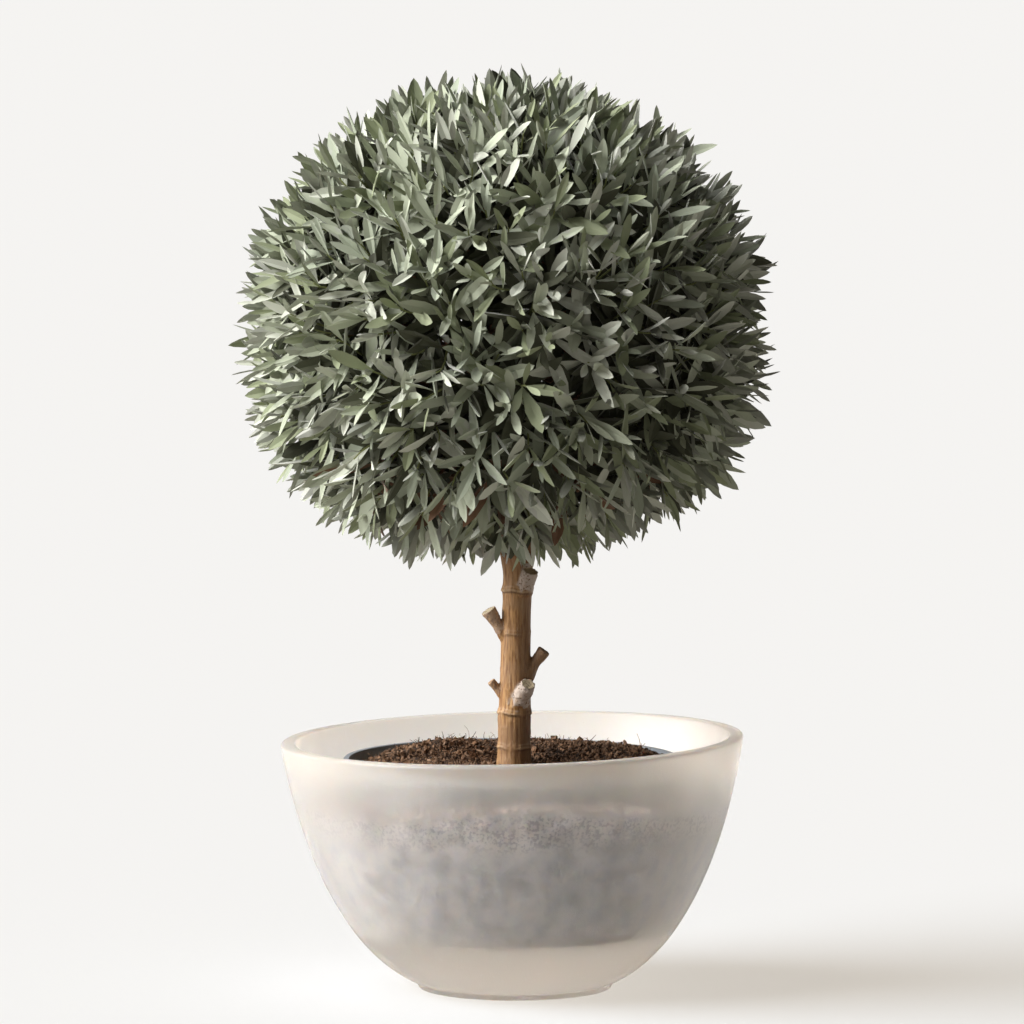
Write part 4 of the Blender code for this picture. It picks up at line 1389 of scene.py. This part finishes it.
fork_ways = spread_ways(TWIGS)
fork_axes = spun(any_square(fork_ways), fork_ways, rng.uniform(0, math.pi, TWIGS))
twig_ways = np.concatenate(
    [spun(fork_ways, fork_axes, np.full(TWIGS, sign * FORK_SPREAD)) for sign in (-1, 1)]
)
fork_roots, fork_heads = nearest(crown_point(fork_ways, FORK_SHARE), limb_lines[:, 5:], fork_ways)
twig_tips = crown_point(twig_ways, TWIG_TIPS[0] + TWIG_TIPS[1] * rng.uniform(-1, 1, 2 * TWIGS))
twig_roots, twig_heads = (np.tile(a, (2, 1)) for a in (fork_roots, unit(fork_heads + fork_ways)))
twig_lines = arcs(twig_roots, twig_heads, twig_tips, unit(twig_ways + UP * 0.15), TWIG_ROWS)
print(len(leaders), "leaders,", len(limb_lines), "limbs,", len(twig_lines), "twigs")

# %% Leafy shoots
SHOOTS = 640
SHOOT_ROOT_SHARE = 0.62
SHOOT_TIP_SHARE = 0.875
SHOOT_TIP_SPREAD = 0.05
SHOOT_RADII = (0.0015, 0.0008)
SHOOT_ROWS = 9
WAY_SPREAD = 0.022
AXIS_SPREAD = 0.15
BARE_TRUNK = 0.034  # no shoot ends this near the trunk's axis under the crown
UNDER_SHARE = 0.7  # of the shoots that would point down, this share grew


def trunk_distance(points):
    """Level distance of points from the line of the trunk, carried on upwards."""
    stem = trunk_centre(points[..., 2])
    return np.linalg.norm((points - stem)[..., :2], axis=-1)


shoot_ways = unit(spread_ways(SHOOTS) + rng.normal(0, WAY_SPREAD, (SHOOTS, 3)))
dome = np.clip((shoot_ways[:, 2] + 0.55) / 0.9, 0, 1)[:, None]
axes = unit(shoot_ways + UP * (0.80 * dome - 0.18) + rng.normal(0, AXIS_SPREAD, (SHOOTS, 3)))
# a clipped ball isn't even: each shoot stands out or back, in part together with its neighbours
standing_out = rng.uniform(-0.7, 0.7, SHOOTS) + cloud(shoot_ways * CROWN_RADIUS, 0.075, 82) * 0.7
shoot_tips = crown_point(shoot_ways, SHOOT_TIP_SHARE + SHOOT_TIP_SPREAD * standing_out)
under = shoot_ways[:, 2] < -0.75
kept = ~under | (rng.random(SHOOTS) < UNDER_SHARE)
kept &= ~(under & (trunk_distance(shoot_tips) < BARE_TRUNK))
shoot_ways, axes, shoot_tips, standing_out = (a[kept] for a in (shoot_ways, axes, shoot_tips, standing_out))
root_targets = crown_point(shoot_ways, np.full(len(shoot_ways), SHOOT_ROOT_SHARE))
shoot_roots, shoot_heads = nearest(root_targets, twig_lines[:, 3:], shoot_ways)
shoot_lines = arcs(shoot_roots, unit(shoot_heads + shoot_ways), shoot_tips, axes, SHOOT_ROWS)
print(len(shoot_lines), "leafy shoots")

# %% [markdown]
# ## Leaves
#
# Each leaf is a narrow lance with a stalk, folded a little along its midrib. Young leaves stand
# close round the tip of a shoot. Older ones lie further down it, longer and opened wide, and
# each is turned by the golden angle from the last. All of this is arithmetic on arrays: one row
# of numbers for each leaf, and then 22 points for each row.

# %% Where the leaves sit
LEAVES_PER_SHOOT = 11
FIRST_LEAF_DEPTH = 0.0015
LEAF_STEP = 0.0052
LEAF_LENGTHS = (0.035, 0.064)
LEAF_TILTS = (math.radians(16), math.radians(76))
LEAF_FULL_AGE = 5.0  # the leaf number at which leaves are full grown
GROWTH_POWER = 0.8
OPENING_POWER = 0.68
LEAF_SIZE_SPREAD = (0.82, 1.16)
TILT_SPREAD = 0.12
TURN_SPREAD = 0.15
LEAF_TIP_SHARE = 1.025
LEAF_TIP_SPREADS = (0.04, 0.03)  # by shoot, and by leaf
SHORTEST_LEAF = 0.012
HALVINGS = 9
LOW_LEAVES = 0.06  # leaves lower than this above the fork keep clear of the trunk
CLEAR_OF_TRUNK = (0.024, 0.022)  # for a leaf's tip and for its middle

age = np.arange(LEAVES_PER_SHOOT)[None] + rng.uniform(-0.3, 0.3, (len(shoot_lines), LEAVES_PER_SHOOT))
age = np.maximum(age, 0)
grown = np.clip(age / LEAF_FULL_AGE, 0, 1)
opened = np.clip(age / (LEAVES_PER_SHOOT - 3), 0, 1) ** OPENING_POWER
leaf_size = LEAF_LENGTHS[0] + (LEAF_LENGTHS[1] - LEAF_LENGTHS[0]) * grown**GROWTH_POWER
leaf_size = leaf_size * rng.uniform(*LEAF_SIZE_SPREAD, age.shape)
tilt = LEAF_TILTS[0] + (LEAF_TILTS[1] - LEAF_TILTS[0]) * opened
tilt = tilt + rng.normal(0, TILT_SPREAD, age.shape)

# the foot of each leaf: so far back from the tip along the shoot, or at its root if it is shorter
steps = np.linalg.norm(np.diff(shoot_lines, axis=1), axis=-1)
run = np.concatenate([np.zeros((len(steps), 1)), np.cumsum(steps[:, ::-1], axis=1)], axis=1)
back = shoot_lines[:, ::-1]
depth = FIRST_LEAF_DEPTH + LEAF_STEP * age
row = (depth[:, :, None] >= run[:, None, :]).sum(-1) - 1
row = np.clip(row, 0, SHOOT_ROWS - 2)
shoot = np.arange(len(shoot_lines))[:, None]
share = np.clip((depth - run[shoot, row]) / (run[shoot, row + 1] - run[shoot, row]), 0, 1)
low, high = back[shoot, row], back[shoot, row + 1]
leaf_foot = low + (high - low) * share[..., None]
stem_way = unit(low - high)

print("the oldest leaf sits", round(float(depth.max()) * 1000, 1), "mm below its shoot's tip")

# %% How the leaves are turned
turn = rng.uniform(0, 2 * math.pi, len(shoot_lines))[:, None]
turn = turn + GOLDEN_ANGLE * np.arange(LEAVES_PER_SHOOT)
turn = turn + rng.normal(0, TURN_SPREAD, age.shape)
outward = spun(any_square(stem_way), stem_way, turn)
heading = stem_way * np.cos(tilt)[..., None] + outward * np.sin(tilt)[..., None]
sag = (0.05 + 0.20 * opened)[..., None] * (1 - np.abs(heading[..., 2:])) * UP
heading = unit(heading - sag)
upper = unit(stem_way * np.sin(tilt)[..., None] - outward * np.cos(tilt)[..., None])

leaf_shoot = np.broadcast_to(shoot, age.shape).ravel()
foot, head, face = (a.reshape(-1, 3) for a in (leaf_foot, heading, upper))
size, leaf_age = leaf_size.ravel(), age.ravel()
print("sites for leaves:", len(size))

# %% Leaves cut to the outline
# by halving the span again and again, the longest length whose tip stays inside
limit = LEAF_TIP_SHARE + LEAF_TIP_SPREADS[0] * standing_out[leaf_shoot]
limit = limit + LEAF_TIP_SPREADS[1] * rng.uniform(-1, 1, len(size))
least, most = np.zeros(len(size)), size.copy()
for _ in range(HALVINGS):
    middle = (least + most) / 2
    inside = crown_share(foot + head * middle[:, None]) <= limit
    least = np.where(inside, middle, least)
    most = np.where(inside, most, middle)
fits_whole = crown_share(foot + head * size[:, None]) <= limit
size = np.where(fits_whole, size, least)

tips = foot + head * size[:, None]
touches = trunk_distance(tips) < CLEAR_OF_TRUNK[0]
touches |= trunk_distance((foot + tips) / 2) < CLEAR_OF_TRUNK[1]
keep = (size > SHORTEST_LEAF) & ~(touches & (tips[:, 2] < TRUNK_FORK + LOW_LEAVES))
foot, head, face, size, leaf_shoot, leaf_age = (
    a[keep] for a in (foot, head, face, size, leaf_shoot, leaf_age)
)
print(len(size), "leaves, mean length", round(float(size.mean()) * 1000, 1), "mm")

# %% Leaf blades
BLADE_ROWS = np.array([0.07, 0.27, 0.52, 0.77, 0.93])
BLADE_WIDTHS = np.array([0.14, 0.54, 0.96, 0.86, 0.40])
BLADE_WIDTH = 0.228  # full width over length
BLADE_THICKNESS = 0.0005
BLADE_FOLDS = (10, 26)  # degrees
BLADE_BOWS = (-0.13, 0.07)  # shares of the length
BLADE_SWEEP = 0.035
BLADE_TWIST = 0.30
BLADE_RINGS = len(BLADE_ROWS)
POINTS_PER_LEAF = BLADE_RINGS * 4 + 2


def blades(foot, head, face, size, narrow):
    """Points of leaves, 22 each: five rings of four, then the foot and the tip.

    A ring holds one margin, the upper side of the midrib, the other margin and the lower side
    of the midrib. Margins stand higher than the midrib by the fold. The blade bends back, and
    sideways, by a share of its length times the square of the way along, and twists evenly.
    """
    count = len(size)
    head = unit(head)
    side = unit(np.cross(face, head))
    face = np.cross(head, side)
    fold = np.radians(rng.uniform(*BLADE_FOLDS, count))[:, None]
    bow = rng.uniform(*BLADE_BOWS, count)[:, None]
    sweep = rng.normal(0, BLADE_SWEEP, count)[:, None]
    twist = rng.normal(0, BLADE_TWIST, count)[:, None]
    along = BLADE_ROWS[None]
    width = size[:, None] * narrow[:, None] * BLADE_WIDTH / 2 * BLADE_WIDTHS
    turn = twist * along
    left = side[:, None] * np.cos(turn)[..., None] + face[:, None] * np.sin(turn)[..., None]
    up = face[:, None] * np.cos(turn)[..., None] - side[:, None] * np.sin(turn)[..., None]

    def spine(share):
        """Points of the midrib."""
        bent = head[:, None] * share[..., None] - face[:, None] * (bow * share**2)[..., None]
        bent = bent + side[:, None] * (sweep * share**2)[..., None]
        return foot[:, None] + size[:, None, None] * bent

    middle = spine(np.broadcast_to(along, width.shape))
    wide = left * (width * np.cos(fold))[..., None]
    lift = up * (width * np.sin(fold) - BLADE_THICKNESS / 2)[..., None]
    under = middle - up * BLADE_THICKNESS
    rings = np.stack([middle + wide + lift, middle, middle - wide + lift, under], axis=2)
    ends = spine(np.array([[0.0, 1.0]]) * np.ones((count, 1)))
    return np.concatenate([rings.reshape(count, BLADE_RINGS * 4, 3), ends], axis=1)


def blade_faces(count):
    """Faces of leaves, and for each the number of its material: 0 above and 1 below."""
    quads, _ = ring_faces(1, BLADE_RINGS, 4)
    sides = np.arange(4)
    nexts = (sides + 1) % 4
    last = (BLADE_RINGS - 1) * 4
    foot, tip = POINTS_PER_LEAF - 2, POINTS_PER_LEAF - 1
    foot_fan = columns(foot, nexts, sides)
    tip_fan = columns(last + sides, last + nexts, tip)
    shift = (np.arange(count) * POINTS_PER_LEAF)[:, None, None]
    fans = np.concatenate([foot_fan, tip_fan])
    lower = np.tile(sides > 1, count * (BLADE_RINGS + 1))
    faces = [(quads + shift).reshape(-1, 4), (fans + shift).reshape(-1, 3)]
    return faces, lower.astype(np.int32)


print("faces of one leaf:", len(blade_faces(1)[1]))

# %% [markdown]
# Real leaves differ from shoot to shoot more than within one. So each shoot gets one tint, and
# its leaves join the piece of that tint. Only its youngest and oldest leaves, and some dry ones
# low in the crown, are set apart. The oldest, deepest in the crown, get a near-black tint, which
# is painted shade in the gaps between the outer leaves. A leaf is felted: rough all over, with
# another tone below.

# %% Leaf finishes
# name, share of shoots, colour above, colour below
TINTS = (
    ("sage", 0.34, (0.475, 0.515, 0.390), (0.47, 0.49, 0.415)),
    ("silver", 0.28, (0.610, 0.635, 0.535), (0.54, 0.55, 0.490)),
    ("grey_green", 0.22, (0.380, 0.420, 0.320), (0.42, 0.44, 0.375)),
    ("olive", 0.16, (0.290, 0.325, 0.200), (0.34, 0.36, 0.275)),
)
YOUNG = ("young", 0.0, (0.330, 0.370, 0.225), (0.34, 0.365, 0.26))
# a near-black tint for the leaves deepest on each shoot: painted shade between the outer leaves
OLD_PAINTED_SHADE = ("old", 0.0, (0.078, 0.083, 0.050), (0.105, 0.110, 0.080))
DRY = ("dry", 0.0, (0.190, 0.105, 0.060), (0.22, 0.13, 0.08))
YOUNG_AGE = 2.2
YOUNG_SHOOTS = 0.22
OLD_AGE = 6.0
OLD_AGE_SPREAD = 0.8
DRY_LEAVES = 0.35
DRY_BELOW = 0.13  # dry leaves lie lower than this under the crown's centre
DRY_WITHIN = 0.86  # and inside this share of its outline
TINT_PATCHES = (0.07, 0.16)


def leaf_finish(name, colour):
    """A matt leaf of one colour, with a soft sheen kept low."""
    felt = {"IOR": 1.35, "Roughness": 0.66, "Sheen_Weight": 0.25, "Sheen_Roughness": 0.4}
    return new_finish(name, Base_Color=opaque(colour), **felt)[0]


shoot_count = len(shoot_lines)
drift = cloud(shoot_tips, TINT_PATCHES[0], 81) * TINT_PATCHES[1] + rng.random(shoot_count)
order = np.argsort(np.argsort(drift)) / shoot_count
shares = np.cumsum([tint[1] for tint in TINTS])
shoot_tint = np.searchsorted(shares / shares[-1], order)
leaf_tint = shoot_tint[leaf_shoot]
young_shoot = rng.random(shoot_count) < YOUNG_SHOOTS
leaf_tint[(leaf_age < YOUNG_AGE) & young_shoot[leaf_shoot]] = len(TINTS)
# the deepest leaves take the near-black tint: painted shade
leaf_tint[leaf_age > OLD_AGE + rng.normal(0, OLD_AGE_SPREAD, len(size))] = len(TINTS) + 1
low_old = (foot[:, 2] < CROWN_CENTRE[2] - DRY_BELOW) & (leaf_age > OLD_AGE)
low_old &= crown_share(foot) < DRY_WITHIN
leaf_tint[low_old & (rng.random(len(size)) < DRY_LEAVES)] = len(TINTS) + 2
print("leaves of each tint:", np.bincount(leaf_tint))

# %% Leaf pieces
MOST_LEAVES = 6000  # in one piece

narrow = rng.uniform(0.82, 1.18, len(size)) * np.where(leaf_age < 2, 0.85, 1.0)
shape = blades(foot, head, face, size, narrow)
first = True
for number, (tint, _, above, below) in enumerate((*TINTS, YOUNG, OLD_PAINTED_SHADE, DRY)):
    above_finish = leaf_finish(f"{tint}_above", above)
    below_finish = leaf_finish(f"{tint}_below", below)
    members = np.flatnonzero(leaf_tint == number)
    for part, start in enumerate(range(0, len(members), MOST_LEAVES)):
        chosen = members[start : start + MOST_LEAVES]
        faces, lower = blade_faces(len(chosen))
        leaves = mesh_object(
            f"leaves_{tint}_{part}", shape[chosen], faces, [above_finish, below_finish], lower, crease=22
        )
        fit(leaves, "felted_leaves", *(["crown"] if first else []))
        first = False

# %% [markdown]
# ## Twigs in the crown
#
# Old wood is reddish brown, and this year's shoots are green. They are tubes of a few sides that
# taper evenly, joined by kind into four pieces.

# %% Crown wood
wood_finish, place = new_finish("twig_bark_finish", IOR=1.4, Roughness=0.7)
grain = place.noise(0.004, 2.0, (1.0, 1.0, 3.0)).ramp(0.35, 0.65)
feed(wood_finish, Base_Color=grain.blend((0.16, 0.085, 0.05), (0.27, 0.15, 0.09)))
green_finish, _ = new_finish(
    "green_shoot_finish", IOR=1.4, Roughness=0.6, Base_Color=opaque((0.23, 0.25, 0.10))
)


def evenly(radii, lines):
    """Radii that taper evenly along each of many lines."""
    return np.broadcast_to(np.linspace(*radii, lines.shape[1]), lines.shape[:2])


for name, lines, radii, sides, finish in (
    ("crown_leaders", leaders, leader_radii, 12, wood_finish),
    ("crown_limbs", limb_lines, evenly(LIMB_RADII, limb_lines), 8, wood_finish),
    ("crown_twigs", twig_lines, evenly(TWIG_RADII, twig_lines), 6, wood_finish),
    ("crown_shoots", shoot_lines, evenly(SHOOT_RADII, shoot_lines), 5, green_finish),
):
    faces = ring_faces(len(lines), lines.shape[1], sides)
    fit(mesh_object(name, tubes(lines, radii, sides), faces, [finish], crease=60), "felted_leaves")
